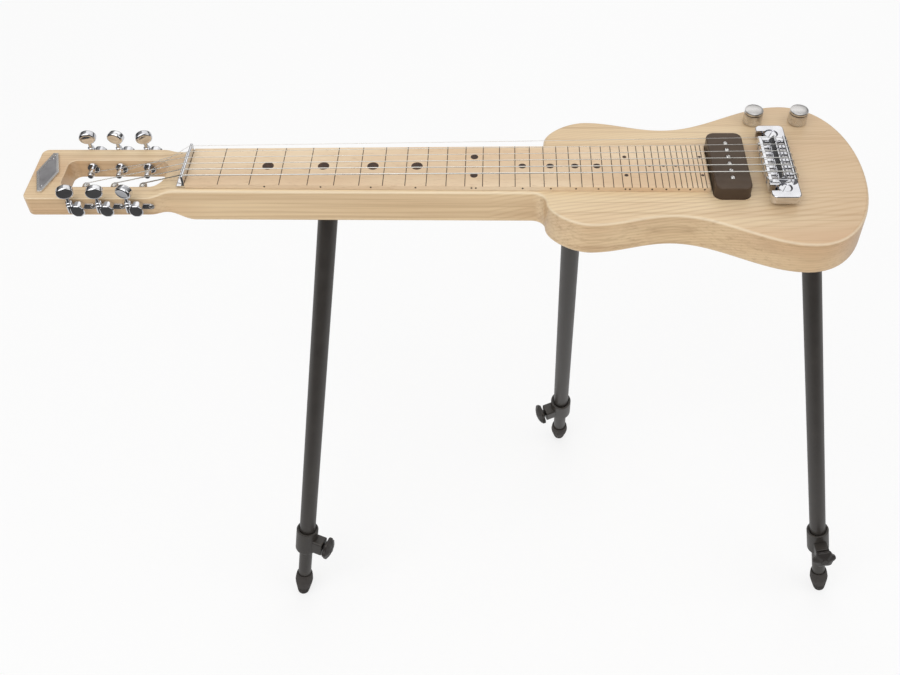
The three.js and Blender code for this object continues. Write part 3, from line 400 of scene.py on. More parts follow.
def rod(name: str, radius: float, start: Sequence[float], end: Sequence[float], sides: int = 32) -> Object:
    """A plain round bar between two points, used as a cutter or as the start of a piece.

    Args:
        name: The new piece's name.
        radius: Its radius.
        start: The middle of one end.
        end: The middle of the other end.
        sides: Faces round it.

    Returns:
        The new bar.
    """
    reach = Vector(end) - Vector(start)
    bpy.ops.object.select_all(action="DESELECT")
    bpy.ops.mesh.primitive_cylinder_add(vertices=sides, radius=radius, depth=reach.length,
                                        location=(Vector(start) + Vector(end)) / 2,
                                        rotation=reach.to_track_quat("Z", "X").to_euler())
    return name_new(name)


def block(name: str, low: Sequence[float], high: Sequence[float]) -> Object:
    """A plain box between two corners, used as a cutter or as the start of a piece.

    Args:
        name: The new piece's name.
        low: Its lowest corner.
        high: Its highest corner.

    Returns:
        The new box.
    """
    bpy.ops.object.select_all(action="DESELECT")
    bpy.ops.mesh.primitive_cube_add(size=1, location=(Vector(low) + Vector(high)) / 2,
                                    scale=Vector(high) - Vector(low))
    return name_new(name)


def round_edges(piece: Object, test: Callable[[list[Vector]], bool], width: float, segments: int = 3) -> None:
    """Rounds the edges whose corners pass a test.

    Args:
        piece: The piece.
        test: Says yes or no to an edge's two corners.
        width: The rounding.
        segments: Steps in it.
    """
    with edit_mode(piece):
        pick(piece, "EDGE", test)
        bpy.ops.mesh.bevel(offset=width, segments=segments, affect="EDGES")


def apply_modifier(piece: Object, kind: str, **settings: Any) -> None:
    """Adds a modifier with its settings and applies it.

    Args:
        piece: The piece.
        kind: The modifier's type.
        **settings: The modifier's own settings.
    """
    select_only(piece)
    modifier = piece.modifiers.new(kind.lower(), kind)
    for key, value in settings.items():
        setattr(modifier, key, value)
    bpy.ops.object.modifier_apply(modifier=modifier.name)


def weld(*pieces: Object) -> Object:
    """Puts several meshes into the first one and returns it."""
    if len(pieces) > 1:
        select_only(*pieces)
        bpy.ops.object.join()
    return pieces[0]


def combine(operation: str, piece: Object, tools: Sequence[Object]) -> Object:
    """Cuts, fuses or crosses a piece with other solids, which are used up.

    Args:
        operation: DIFFERENCE, UNION or INTERSECT.
        piece: The piece that is kept.
        tools: The other solids, which may cross each other.

    Returns:
        The piece.
    """
    tool = weld(*tools)
    apply_modifier(piece, "BOOLEAN", operation=operation, object=tool, solver="EXACT",
                   use_self=len(tools) > 1)
    bpy.data.objects.remove(tool)
    return piece


def cut(piece: Object, *cutters: Object) -> Object:
    """Cuts solids out of a piece."""
    return combine("DIFFERENCE", piece, cutters)


def fuse(piece: Object, *others: Object) -> Object:
    """Fuses solids onto a piece, one after the other."""
    for other in others:
        combine("UNION", piece, [other])
    return piece


def copy_of(piece: Object, name: str) -> Object:
    """Copies a piece with its own mesh, under a new name."""
    select_only(piece)
    bpy.ops.object.duplicate(linked=False)
    bpy.context.object.name = name
    return bpy.context.object


def discard(*masters: Object) -> None:
    """Removes the masters once their copies stand in place."""
    for master in masters:
        bpy.data.objects.remove(master)


def settle(piece: Object, matrix: Matrix) -> Object:
    """Moves a piece by a matrix and puts the place into its mesh.

    Args:
        piece: The piece.
        matrix: The move. A mirroring one also turns the faces right again.

    Returns:
        The piece.
    """
    select_only(piece)
    piece.matrix_world = matrix @ piece.matrix_world
    bpy.ops.object.transform_apply(location=True, rotation=True, scale=True)
    if matrix.determinant() < 0:
        with edit_mode(piece):
            face_outward()
    return piece


def wire(name: str, points: Sequence[Vector], radius: float, sides: int = 5) -> Object:
    """A round wire along a line of points.

    Args:
        name: The new piece's name.
        points: The line's points.
        radius: The wire's radius.
        sides: A quarter of the faces round the wire, less one.

    Returns:
        The wire as a mesh.
    """
    piece = draw(name, points, closed=False)
    select_only(piece)
    bpy.ops.object.convert(target="CURVE")
    piece.data.bevel_depth = radius
    piece.data.bevel_resolution = sides
    piece.data.use_fill_caps = True
    bpy.ops.object.convert(target="MESH")
    return piece


@dataclass(frozen=True)
class Noise:
    """A noise pattern that lies in the object's own coordinates.

    Attributes:
        scale: How often it changes in a metre, along each axis.
        detail: How many finer layers it has.
        roughness: How strong these layers are.
        shows: The span of its values that shows, and the span that this is carried to.
        turn: Its turn about each axis, in radians.
    """

    scale: Point3
    detail: float = 2.0
    roughness: float = 0.5
    shows: Span = (0, 1, 0, 1)
    turn: Point3 = (0, 0, 0)


class Graph:
    """The nodes of a material or a world, written as short calls."""

    def __init__(self, owner: Material | bpy.types.World) -> None:
        """Opens the owner's node tree."""
        owner.use_nodes = True
        self.owner = owner
        self.nodes = owner.node_tree.nodes
        self.links = owner.node_tree.links
        self.shader = self.nodes.get("Principled BSDF") or self.nodes["Background"]

    @classmethod
    def material(cls, name: str) -> "Graph":
        """Starts a new material with one principled shader."""
        return cls(bpy.data.materials.new(name))

    def node(self, kind: str, **settings: Any) -> bpy.types.Node:
        """Adds a node.

        Args:
            kind: The node's type.
            **settings: The node's own settings.

        Returns:
            The node.
        """
        made = self.nodes.new(kind)
        for key, value in settings.items():
            setattr(made, key, value)
        return made

    def feed(self, target: Socket, source: Any) -> None:
        """Links a socket into another, or sets a plain value on it.

        Args:
            target: The socket that is fed.
            source: The other socket, or the value.
        """
        if isinstance(source, bpy.types.NodeSocket):
            self.links.new(source, target)
        else:
            target.default_value = source

    def feed_all(self, made: bpy.types.Node, *sources: Any) -> Socket:
        """Feeds a node's inputs in their order and returns its first output."""
        for target, source in zip(made.inputs, sources):
            self.feed(target, source)
        return made.outputs[0]

    def place(self, scale: Point3 = (1, 1, 1), turn: Point3 = (0, 0, 0)) -> Socket:
        """Object coordinates, turned and stretched.

        Args:
            scale: The stretch of each axis.
            turn: The turn about each axis, in radians.

        Returns:
            The coordinates.
        """
        mapping = self.node("ShaderNodeMapping")
        for key, value in (("Vector", self.node("ShaderNodeTexCoord").outputs["Object"]),
                           ("Scale", scale), ("Rotation", turn)):
            self.feed(mapping.inputs[key], value)
        return mapping.outputs["Vector"]

    def axes(self, vector: Socket) -> Sequence[Socket]:
        """The X, Y and Z of a vector."""
        made = self.node("ShaderNodeSeparateXYZ")
        self.feed_all(made, vector)
        return made.outputs

    def noise(self, pattern: Noise) -> Socket:
        """A pattern's plain values.

        Args:
            pattern: The pattern.

        Returns:
            Its value, from 0 to 1.
        """
        made = self.node("ShaderNodeTexNoise")
        for key, value in (("Vector", self.place(pattern.scale, pattern.turn)), ("Scale", 1.0),
                           ("Detail", pattern.detail), ("Roughness", pattern.roughness)):
            self.feed(made.inputs[key], value)
        return made.outputs["Fac"]

    def shown(self, pattern: Noise) -> Socket:
        """A pattern's values, carried to the span that it shows."""
        return self.span(self.noise(pattern), *pattern.shows)

    def sum(self, operation: str, *parts: Any) -> Socket:
        """One step of arithmetic on numbers."""
        return self.feed_all(self.node("ShaderNodeMath", operation=operation), *parts)

    def span(self, value: Any, low: float, high: float, to_low: float, to_high: float) -> Socket:
        """Carries a value from one span to another, held at the ends."""
        return self.feed_all(self.node("ShaderNodeMapRange"), value, low, high, to_low, to_high)

    def ramp(self, factor: Socket, stops: Sequence[tuple[float, Colour]]) -> Socket:
        """A colour ramp.

        Args:
            factor: The value that runs along it.
            stops: Its places and their colours.

        Returns:
            The colour.
        """
        made = self.node("ShaderNodeValToRGB")
        steps = made.color_ramp.elements
        while len(steps) < len(stops):
            steps.new(0.5)
        for step, (position, colour) in zip(steps, stops):
            step.position, step.color = position, colour
        return self.feed_all(made, factor)

    def blend(self, factor: Any, first: Any, second: Any) -> Socket:
        """Mixes two colours.

        Args:
            factor: The second colour's share.
            first: The first colour.
            second: The second colour.

        Returns:
            The mixed colour.
        """
        made = self.node("ShaderNodeMix", data_type="RGBA")
        for number, source in ((0, factor), (6, first), (7, second)):
            self.feed(made.inputs[number], source)
        return made.outputs[2]

    def bump(self, height: Socket, distance: float, strength: float) -> None:
        """Raises the surface by a height pattern.

        Args:
            height: The pattern.
            distance: The height of its highest value, in metres.
            strength: How much of it shows.
        """
        made = self.node("ShaderNodeBump")
        for key, value in (("Strength", strength), ("Distance", distance), ("Height", height)):
            self.feed(made.inputs[key], value)
        self.feed(self.shader.inputs["Normal"], made.outputs["Normal"])

    def set(self, **sockets: Any) -> Material:
        """Sets or links the shader's own sockets, and returns what they belong to.

        Args:
            **sockets: The sockets' names, with underscores for spaces.

        Returns:
            The material or the world.
        """
        for name, source in sockets.items():
            self.feed(self.shader.inputs[name.replace("_", " ")], source)
        return self.owner


@dataclass(frozen=True)
class Timber:
    """Oiled ash, drawn as growth rings about a far centre so that every face shows its own grain."""

    name: str
    pale: Colour = rgb(238, 217, 181)
    middle: Colour = rgb(229, 204, 164)
    dark: Colour = rgb(190, 154, 114)
    blush: Colour = rgb(205, 166, 131)
    tan: Colour = rgb(207, 176, 140)
    streak: Colour = rgb(172, 136, 98)
    end_grain: Colour = rgb(176, 138, 96)
    side_grain: Colour = rgb(226, 186, 136)
    # Painted highlight: the pale colour and its strength, laid on the rounded upper edges
    painted_edge_highlight: Colour = rgb(252, 238, 210)
    painted_highlight_strength: float = 0.55
    ring: float = 0.0031
    ring_tones: tuple[tuple[float, int], ...] = ((0.0, 215), (0.2, 110), (0.6, 40), (0.88, 160), (1.0, 215))
    ring_strength: Noise = Noise((1.8, 46, 46), 3.0, 0.6, (0.38, 0.68, 0.18, 0.75))
    deck: float = 0.628
    heart_depth: float = 0.12
    heart_across: Point2 = (-0.19, -0.11)
    drift: Point2 = (0.0, 0.42)
    figure: Point2 = (0.004, 0.026)
    swirl: Noise = Noise((2.6, 8, 8), 2.0, 0.4)
    wobble: Noise = Noise((7, 60, 60))
    wobble_size: float = 0.0026
    fibre: Noise = Noise((15, 1500, 1500), 3.0, 0.6)
    pores: Span = (0.54, 0.72, 0.0, 1.0)
    tone: Noise = Noise((2.0, 15, 15), 3.0, 0.5, (0.36, 0.62, 0.0, 1.0))
    tail_tan: Span = (0.2, 0.34, 0, 0.75)
    # Darker along the far side: partly the wood's figure, partly painted shade
    far_figure_and_shade: Span = (0.03, 0.085, 0, 0.7)
    blushes: Noise = Noise((2.6, 22, 22), 2.0, 0.5, (0.47, 0.70, 0, 0.6), (0.1, 0, 0.06))
    side: Span = (0.55, 1.0, 0, 0.35)
    side_bands: Noise = Noise((1.4, 90, 90), 2.0, 0.5, (0.46, 0.66, 0, 0.7))
    threads: tuple[Noise, ...] = (Noise((2.2, 190, 190), 3.0, 0.55, (0.55, 0.74, 0, 0.5)),
                                  Noise((4.0, 480, 480), 3.0, 0.55, (0.55, 0.74, 0, 0.44)))
    dashes: Span = (0.0, 0.5, 0.08, 0.3)
    # The normal's tilts that bound the painted edge highlight
    highlight_slopes: tuple[Span, Span] = ((0.1, 0.62, 0, 1), (0.62, 0.95, 1, 0))
    end: Span = (0.55, 1.0, 0, 0.55)
    relief: Point2 = (-0.7, 0.3)
    depth: float = 0.00012
    gloss: Span = (0.3, 0.7, 0.37, 0.5)

    def radius(self, graph: Graph) -> Socket:
        """The distance from the tree's heart, which drifts under the plank toward the tail and waves there.

        Args:
            graph: The material's nodes.

        Returns:
            The distance, in metres.
        """
        along, across, up = graph.axes(graph.place())
        aside = graph.sum("SUBTRACT", across, graph.span(along, *self.drift, *self.heart_across))
        above = graph.sum("SUBTRACT", up, self.deck - self.heart_depth)
        squares = [graph.sum("MULTIPLY", way, way) for way in (aside, above)]
        reach = graph.sum("SQRT", graph.sum("ADD", *squares))
        swirl = graph.sum("SUBTRACT", graph.noise(self.swirl), 0.5)
        wobble = graph.sum("SUBTRACT", graph.noise(self.wobble), 0.5)
        bent = graph.sum("MULTIPLY_ADD", swirl, graph.span(along, *self.drift, *self.figure), reach)
        return graph.sum("MULTIPLY_ADD", wobble, self.wobble_size, bent)

    def build(self) -> Material:
        """Makes the material."""
        graph = Graph.material(self.name)
        ring = graph.sum("FRACT", graph.sum("DIVIDE", self.radius(graph), self.ring))
        late = graph.ramp(ring, [(place, rgb(tone, tone, tone)) for place, tone in self.ring_tones])

        # Rings aren't equally strong, and the open pores run as short dashes in them
        lines = graph.sum("MULTIPLY", late, graph.shown(self.ring_strength))
        fibre = graph.noise(self.fibre)
        pores = graph.span(fibre, *self.pores)

        # The wood is browner at the tail and darker along the far side, where it is partly the wood's figure
        # and partly painted shade toward the far edge, and it blushes in places
        along, across, _ = graph.axes(graph.place())
        tail_tone_and_far_shade = graph.sum("MAXIMUM", graph.span(along, *self.tail_tan), graph.span(across, *self.far_figure_and_shade))
        base = graph.blend(graph.shown(self.tone), self.pale, self.middle)
        base = graph.blend(tail_tone_and_far_shade, base, self.tan)
        base = graph.blend(graph.shown(self.blushes), base, self.blush)

        # The sides are warmer and banded
        facing = graph.axes(graph.node("ShaderNodeTexCoord").outputs["Normal"])
        side = graph.span(graph.sum("ABSOLUTE", facing[1]), *self.side)
        base = graph.blend(side, base, self.side_grain)
        base = graph.blend(graph.sum("MULTIPLY", graph.shown(self.side_bands), side), base, self.streak)

        # Rings, fine threads and dashes lie over all of it
        base = graph.blend(lines, base, self.dark)
        for threads in self.threads:
            base = graph.blend(graph.shown(threads), base, self.streak)
        dashes = graph.sum("MULTIPLY", pores, graph.span(lines, *self.dashes))
        base = graph.blend(dashes, base, self.streak)

        # The rounded upper edges get a painted highlight: a pale band, picked by the normal's tilt, that
        # stands for the light caught along the rounding
        painted_edge_highlight = graph.sum("MINIMUM", *(graph.span(facing[2], *slope) for slope in self.highlight_slopes))
        base = graph.blend(graph.sum("MULTIPLY", painted_edge_highlight, self.painted_highlight_strength), base, self.painted_edge_highlight)

        # Faces square to the grain drink more oil and come out browner
        base = graph.blend(graph.span(graph.sum("ABSOLUTE", facing[0]), *self.end), base, self.end_grain)
        sunk, raised = self.relief
        relief = graph.sum("MULTIPLY_ADD", pores, sunk, graph.sum("MULTIPLY", fibre, raised))
        graph.bump(relief, self.depth, 0.35)
        return graph.set(Base_Color=base, Roughness=graph.span(fibre, *self.gloss), Specular_IOR_Level=0.45,
                         Coat_Weight=0.22, Coat_Roughness=0.28)


@dataclass(frozen=True)
class BoardTimber:
    """The fretboard's closer and pinker wood."""

    name: str
    pale: Colour = rgb(235, 212, 180)
    rose: Colour = rgb(223, 193, 158)
    fleck: Colour = rgb(184, 146, 110)
    broad: Noise = Noise((5.0, 26, 26), 2.0, 0.5, (0.35, 0.65, 0, 1))
    bands: Noise = Noise((3.0, 130, 130), 3.0, 0.55, (0.46, 0.72, 0, 0.6))
    flecks: Noise = Noise((120, 1400, 1400), 2.0, 0.5, (0.6, 0.74, 0, 0.5))
    depth: float = 0.0001
    gloss: Span = (0.3, 0.7, 0.46, 0.56)

    def build(self) -> Material:
        """Makes the material."""
        graph = Graph.material(self.name)
        bands = graph.noise(self.bands)
        base = graph.blend(graph.shown(self.broad), self.pale, self.rose)
        base = graph.blend(graph.span(bands, *self.bands.shows), base, self.rose)
        marks = graph.shown(self.flecks)
        base = graph.blend(marks, base, self.fleck)
        graph.bump(graph.sum("MULTIPLY", marks, -1.0), self.depth, 0.3)
        return graph.set(Base_Color=base, Roughness=graph.span(bands, *self.gloss), Specular_IOR_Level=0.4)


@dataclass(frozen=True)
class Inlay:
    """Dark wood let into the fretboard."""

    name: str
    dark: Colour = rgb(52, 36, 28)
    light: Colour = rgb(96, 68, 50)
    grain: Noise = Noise((300, 300, 900), 3.0, 0.6, (0.4, 0.75, 0, 0.8))
    depth: float = 0.00005
    gloss: Span = (0.3, 0.7, 0.5, 0.66)

    def build(self) -> Material:
        """Makes the material."""
        graph = Graph.material(self.name)
        grain = graph.noise(self.grain)
        base = graph.blend(graph.span(grain, *self.grain.shows), self.dark, self.light)
        graph.bump(grain, self.depth, 0.3)
        return graph.set(Base_Color=base, Roughness=graph.span(grain, *self.gloss))


@dataclass(frozen=True)
class Metal:
    """Plated or bare metal: its polish varies a little, with faint handling marks."""

    name: str
    bright: Colour
    dull: Colour
    polish: float
    spread: float = 0.06
    grit: float = 2600.0
    relief: float = 0.0
    cloud: Noise = Noise((45.0,) * 3, 3.0, 0.6, (0.35, 0.7, 0, 1))
    handled: Span = (0.3, 0.7, 0.2, 1.0)
    scoured: Span = (0.3, 0.8, 0.3, 1.0)

    def build(self) -> Material:
        """Makes the material."""
        graph = Graph.material(self.name)
        cloud = graph.noise(self.cloud)
        grain = graph.noise(Noise((self.grit,) * 3, 3.0, 0.65))
        base = graph.blend(graph.span(cloud, *self.cloud.shows), self.bright, self.dull)
        wear = graph.sum("MULTIPLY", graph.span(cloud, *self.handled), graph.span(grain, *self.scoured))
        if self.relief:
            graph.bump(grain, self.relief, 0.6)
        return graph.set(Base_Color=base, Metallic=1.0,
                         Roughness=graph.span(wear, 0, 1, self.polish, self.polish + self.spread))


@dataclass(frozen=True)
class Moulding:
    """Plastic, paint or rubber with a fine skin."""

    name: str
    body: Colour
    worn: Colour
    roughness: float
    spread: float = 0.1
    grain: float = 900.0
    relief: float = 0.00006
    specular: float = 0.5
    cloud: Noise = Noise((38.0,) * 3, 3.0, 0.6, (0.3, 0.75, 0, 1))

    def build(self) -> Material:
        """Makes the material."""
        graph = Graph.material(self.name)
        cloud = graph.noise(self.cloud)
        base = graph.blend(graph.span(cloud, *self.cloud.shows), self.body, self.worn)
        graph.bump(graph.noise(Noise((self.grain,) * 3)), self.relief, 0.5)
        gloss = graph.span(cloud, 0.3, 0.7, self.roughness, self.roughness + self.spread)
        return graph.set(Base_Color=base, Roughness=gloss, Specular_IOR_Level=self.specular)


@dataclass(frozen=True)
class WoundSteel:
    """String steel, with the fine winding of the thicker strings as a relief along them."""

    name: str
    wound: bool = True
    pitch: float = 0.0003
    wave_factor: float = 20.0
    depth: float = 0.00004
    dull: Colour = rgb(214, 212, 206)
    bright: Colour = rgb(236, 235, 231)
    cloud: Noise = Noise((30, 400, 400))
    gloss: Span = (0.3, 0.7, 0.22, 0.34)

    def build(self) -> Material:
        """Makes the material."""
        graph = Graph.material(self.name)
        cloud = graph.noise(self.cloud)
        if self.wound:
            wave = graph.node("ShaderNodeTexWave", bands_direction="X", wave_profile="SIN")
            graph.feed(wave.inputs["Vector"], graph.place())
            graph.feed(wave.inputs["Scale"], 1 / self.pitch / self.wave_factor)
            graph.bump(wave.outputs["Fac"], self.depth, 0.5)
        return graph.set(Base_Color=graph.blend(cloud, self.dull, self.bright), Metallic=1.0,
                         Roughness=graph.span(cloud, *self.gloss))


class Finishes:
    """Every material of the instrument, made once."""

    def __init__(self) -> None:
        """Makes the materials."""
        self.ash = Timber("ash").build()
        self.board = BoardTimber("board_wood").build()
        self.inlay = Inlay("inlay_wood").build()
        self.chrome = Metal("chrome", rgb(236, 236, 238), rgb(214, 214, 218), 0.05).build()
        self.nickel = Metal("satin_nickel", rgb(226, 224, 222), rgb(204, 201, 198), 0.24, spread=0.12,
                            relief=0.00001).build()
        self.plate = Metal("cast_plate", rgb(190, 188, 190), rgb(150, 148, 150), 0.3, spread=0.2,
                           grit=1200.0, relief=0.00003).build()
        self.plated = Metal("zinc_plate", rgb(208, 206, 198), rgb(170, 168, 160), 0.26, spread=0.14).build()
        self.plain_string = WoundSteel("plain_string", wound=False).build()
        self.wound_string = WoundSteel("wound_string").build()
        self.plastic = Moulding("black_plastic", rgb(73, 59, 48), rgb(85, 70, 57), 0.26, spread=0.08,
                                relief=0.00001, specular=0.2).build()
        self.tape = Moulding("coil_tape", rgb(34, 32, 30), rgb(52, 46, 42), 0.7).build()
        self.paint = Moulding("leg_paint", rgb(52, 48, 45), rgb(60, 56, 52), 0.34, spread=0.08, grain=1600.0,
                              relief=0.00004).build()
        self.grip = Moulding("grip_plastic", rgb(42, 38, 36), rgb(54, 49, 46), 0.4, relief=0.00008).build()
        self.rubber = Moulding("rubber", rgb(54, 50, 48), rgb(70, 65, 62), 0.62, grain=700.0,
                               relief=0.00010, specular=0.35).build()


@dataclass
class Workshop:
    """Carries finished solids from the deck's millimetres into the frame and hangs them on their bodies."""

    deck: Matrix
    finishes: Finishes

    @classmethod
    def from_frame(cls) -> "Workshop":
        """Reads the deck's place from the frame: the nut's face, the centre line and the deck's top.

        Returns:
            The workshop, with its finishes made.
        """
        nut_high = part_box("nut")[1]
        plank_low, plank_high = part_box("body_neck_and_head")
        origin = Vector((nut_high.x, (plank_low.y + plank_high.y) / 2, plank_high.z))
        return cls(Matrix.Translation(origin) @ Matrix.Scale(MM, 4), Finishes())

    def point(self, x: float, y: float, z: float) -> Vector:
        """A point of the deck's millimetres, in the frame."""
        return self.deck @ Vector((x, y, z))

    def deliver(self, piece: Object, material: Material, body: str | None,
                replaces: Sequence[str] = (), place: Matrix | None = None, smooth: float = 32.0) -> Object:
        """Settles a piece in the frame, smooths it, gives it its finish and lets it ride on a body.

        Args:
            piece: The modelled piece, in millimetres.
            material: Its finish.
            body: The body that carries it, or None for a piece that runs between two bodies, which is then
                hung on neither.
            replaces: The CAD nodes that it stands for.
            place: Its place among the deck's millimetres.
            smooth: The largest angle that shades as a round surface, in degrees.

        Returns:
            The piece.
        """
        settle(piece, self.deck @ (place or Matrix.Identity(4)))
        select_only(piece)
        bpy.ops.object.shade_smooth_by_angle(angle=math.radians(smooth))
        apply_modifier(piece, "WEIGHTED_NORMAL", keep_sharp=True)
        piece.data.materials.clear()
        piece.data.materials.append(material)
        piece.data.name = piece.name
        if replaces:
            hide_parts(*replaces)
        if body:
            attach(piece, body)
        log.info("%s rides on %s: %d faces", piece.name, body or "two bodies", len(piece.data.polygons))
        return piece


def screw_head(name: str, radius: float, height: float) -> Object:
    """A small domed screw with a cross recess, its head standing on height zero.

    Args:
        name: The new piece's name.
        radius: The head's radius.
        height: The head's height.

    Returns:
        The screw.
    """
    crown, shank = radius * 1.4, radius * 0.5
    dome = arc((0, height - crown), crown, 0.1305, 0.25, 6)
    head = lathe(name, [(0, -height), (shank, -height), (shank, 0), (radius, 0), *dome], 24)
    half, wing, deep = radius * 0.62, radius * 0.13, height * 0.55
    return cut(head, block("recess_a", (-half, -wing, height - deep), (half, wing, height * 2)),
               block("recess_b", (-wing, -half, height - deep), (wing, half, height * 2)))


@dataclass
class Strings:
    """The six strings' sizes and the places where they run, shared by what carries them."""

    scale: float = 571.5
    diameters: tuple[float, ...] = (0.45, 0.5, 0.65, 0.85, 1.05, 1.3)
    nut_pitch: float = 9.0
    bridge_pitch: float = 10.4
    nut_height: float = 12.5
    bridge_height: float = 20.0
    turns: float = 2.5
    turn_steps: int = 20
    gap: float = 0.3
    winding_gap: float = 0.55
    ball_radius: float = 1.7
    ball_length: float = 3.2
    wound_from: int = 3

    def across(self, index: int, pitch: float) -> float:
        """A string's place across the instrument."""
        return ((len(self.diameters) - 1) / 2 - index) * pitch


@dataclass
class Plank:
    """Head, neck and body in one piece of ash."""

    thickness: float = 38.0
    edge: float = 3.6
    head_edge: float = 1.7
    head_length: float = 155.5
    head_thickness: float = 21.7
    head_drop: float = 3.3
    head_ramp: Point2 = (-37.5, -10.5)
    head_half: float = 37.5
    head_corner: float = 7.0
    flare: Point2 = (-38.0, -12.0)
    neck_half_at_nut: float = 31.0
    neck_half_at_body: float = 33.0
    step: Point2 = (-29.0, 4.0)
    stations: int = 12
    neck_length: float = 346.0
    cove: float = 13.0
    upper_bout: Point2 = (389.0, 78.5)
    waist: Point2 = (466.0, 65.7)
    lower_bout: Point2 = (592.0, 105.5)
    tail: float = 658.5
    shoulder_pull: float = 0.45
    bout_pull: float = 18.92
    waist_pulls: Point2 = (0.35, 0.36)
    tail_pulls: Point2 = (0.62, 0.57)
    slot_start: float = -24.0
    slot_end: float = -124.0
    slot_half: float = 20.0
    slot_radii: Point2 = (8.0, 14.0)
    slot_edge: float = 1.3
    slot_rounds: int = 5
    pickup_room: float = 9.3
    control_room: float = 7.0
    cover_room: float = 2.3
    bush_bore: float = 5.0
    jack_bores: Point2 = (13.8, 6.3)
    stud_bore: float = 4.3
    rail_bore: float = 4.9
    leg_bore: float = 5.6
    overrun: float = 5.0

    def half_outline(self) -> list[Point2]:
        """Half of the outline, from the head's tip round to the tail.

        Returns:
            The outline's points on the far side.
        """
        fine, coarse = 22, 10
        corner = (self.head_corner - self.head_length, self.head_half - self.head_corner)
        flare_start, flare_end = self.flare
        flare_middle = (flare_start + flare_end) / 2
        points = [*arc(corner, self.head_corner, 0.5, 0.25, coarse), (flare_start, self.head_half)]
        points += bezier(points[-1], (flare_middle, self.head_half), (flare_middle, self.neck_half_at_nut),
                         (flare_end, self.neck_half_at_nut), coarse)
        cove = (self.neck_length - self.cove, self.neck_half_at_body + self.cove)
        points += arc(cove, self.cove, -0.25, 0, coarse)
        rise = self.shoulder_pull * (self.upper_bout[1] - cove[1])
        points += bezier(points[-1], (self.neck_length, points[-1][1] + rise),
                         (self.upper_bout[0] - self.bout_pull, self.upper_bout[1]), self.upper_bout, fine)
        bends = (self.upper_bout, self.waist, self.lower_bout)
        for start, end, pull in zip(bends, bends[1:], self.waist_pulls):
            reach = pull * (end[0] - start[0])
            points += bezier(start, (start[0] + reach, start[1]), (end[0] - reach, end[1]), end, fine)
        along, across = self.tail_pulls
        reach = along * (self.tail - self.lower_bout[0])
        points += bezier(self.lower_bout, (self.lower_bout[0] + reach, self.lower_bout[1]),
                         (self.tail, across * self.lower_bout[1]), (self.tail, 0), fine)
        return points

    def share_of_head(self, x: float, slope: Point2) -> float:
        """How far a station belongs to the head: 1 before a slope, 0 behind it and a soft S between."""
        share = min(max((x - slope[0]) / (slope[1] - slope[0]), 0), 1)
        return (1 + math.cos(math.pi * share)) / 2

    def thin_head(self, piece: Object) -> Object:
        """Lowers a solid's top and lifts its underside over the head, with soft slopes behind the nut.

        Args:
            piece: A solid that reaches from the underside to the deck.

        Returns:
            The solid.
        """
        with edit_mode(piece):
            for start, end in (self.head_ramp, self.step):
                for step in range(self.stations + 1):
                    station = start + (end - start) * step / self.stations
                    slice_through((station, 0, 0), (1, 0, 0))
        lift = self.thickness - self.head_thickness - self.head_drop
        for vertex in piece.data.vertices:
            if vertex.co.z > -self.thickness / 2:
                vertex.co.z -= self.head_drop * self.share_of_head(vertex.co.x, self.head_ramp)
            else:
                vertex.co.z += lift * self.share_of_head(vertex.co.x, self.step)
        return piece

    def sharpen_head(self, plank: Object) -> None:
        """Draws the wide rounding of the plank's rims in over the head, where the edges are crisper.

        Args:
            plank: The plank's solid, before its head is thinned.
        """
        corner = Vector((self.head_corner - self.head_length, self.head_half - self.head_corner))
        for vertex in plank.data.vertices:
            depth = min(-vertex.co.z, vertex.co.z + self.thickness)
            share = self.share_of_head(vertex.co.x, self.head_ramp) * (1 - self.head_edge / self.edge)
            if depth < self.edge and share:
                inward = self.edge - math.sqrt(self.edge ** 2 - (self.edge - depth) ** 2)
                reach = Vector((min(vertex.co.x - corner.x, 0), max(abs(vertex.co.y) - corner.y, 0)))
                outward = reach.normalized() * inward * share
                vertex.co.x += outward.x
                vertex.co.y += math.copysign(outward.y, vertex.co.y)
                vertex.co.z += math.copysign(depth * share, vertex.co.z + self.thickness / 2)

    def build(self, shop: Workshop, strings: Strings) -> None:
        """Models the plank with its slot, pockets and bores.

        Args:
            shop: The workshop.
            strings: The strings, which say where the bridge stands.
        """
        half = self.half_outline()
        outline = half + [(x, -y) for x, y in reversed(half[:-1])]
        plank = slab("ash_plank", outline, -self.thickness, 0, edge=self.edge, segments=6)
        self.sharpen_head(plank)
        cut(self.thin_head(plank), self.thin_head(self.slot_cutter()))
        self.cut_pockets(plank, strings)
        shop.deliver(plank, shop.finishes.ash, "instrument", ["body_neck_and_head"])

    def slot_cutter(self) -> Object:
        """A cutter for the head's slot that widens at both faces, so that the slot's rims come out round.

        Returns:
            The cutter.
        """
        tip, nut = self.slot_radii
        outline = rounded_box((self.slot_end, -self.slot_half), (self.slot_start, self.slot_half),
                              (tip, nut, nut, tip))
        cutter = slab("slot_cutter", outline, -self.thickness, 0)
        steps = [self.slot_edge * (1 - math.cos(TURN / 4 * step / self.slot_rounds))
                 for step in range(1, self.slot_rounds + 1)]
        with edit_mode(cutter):
            for height in [-step for step in steps] + [step - self.thickness for step in steps]:
                slice_through((0, 0, height), (0, 0, 1))
        middle = (self.slot_start + self.slot_end) / 2
        for vertex in cutter.data.vertices:
            depth = min(-vertex.co.z, vertex.co.z + self.thickness)
            if depth < self.slot_edge:
                end, radius = (self.slot_start, nut) if vertex.co.x > middle else (self.slot_end, tip)
                centre = Vector((end - math.copysign(radius, end - middle),
                                 math.copysign(self.slot_half - radius, vertex.co.y), vertex.co.z))
                grow = self.slot_edge - math.sqrt(self.slot_edge ** 2 - (self.slot_edge - depth) ** 2)
                vertex.co += (vertex.co - centre).normalized() * grow
        with edit_mode(cutter):
            for height, push in ((0, self.overrun), (-self.thickness, -self.overrun)):
                pick(cutter, "FACE", lambda corners: level(corners, height))
                bpy.ops.mesh.extrude_region_move(TRANSFORM_OT_translate={"value": (0, 0, push)})
        return cutter

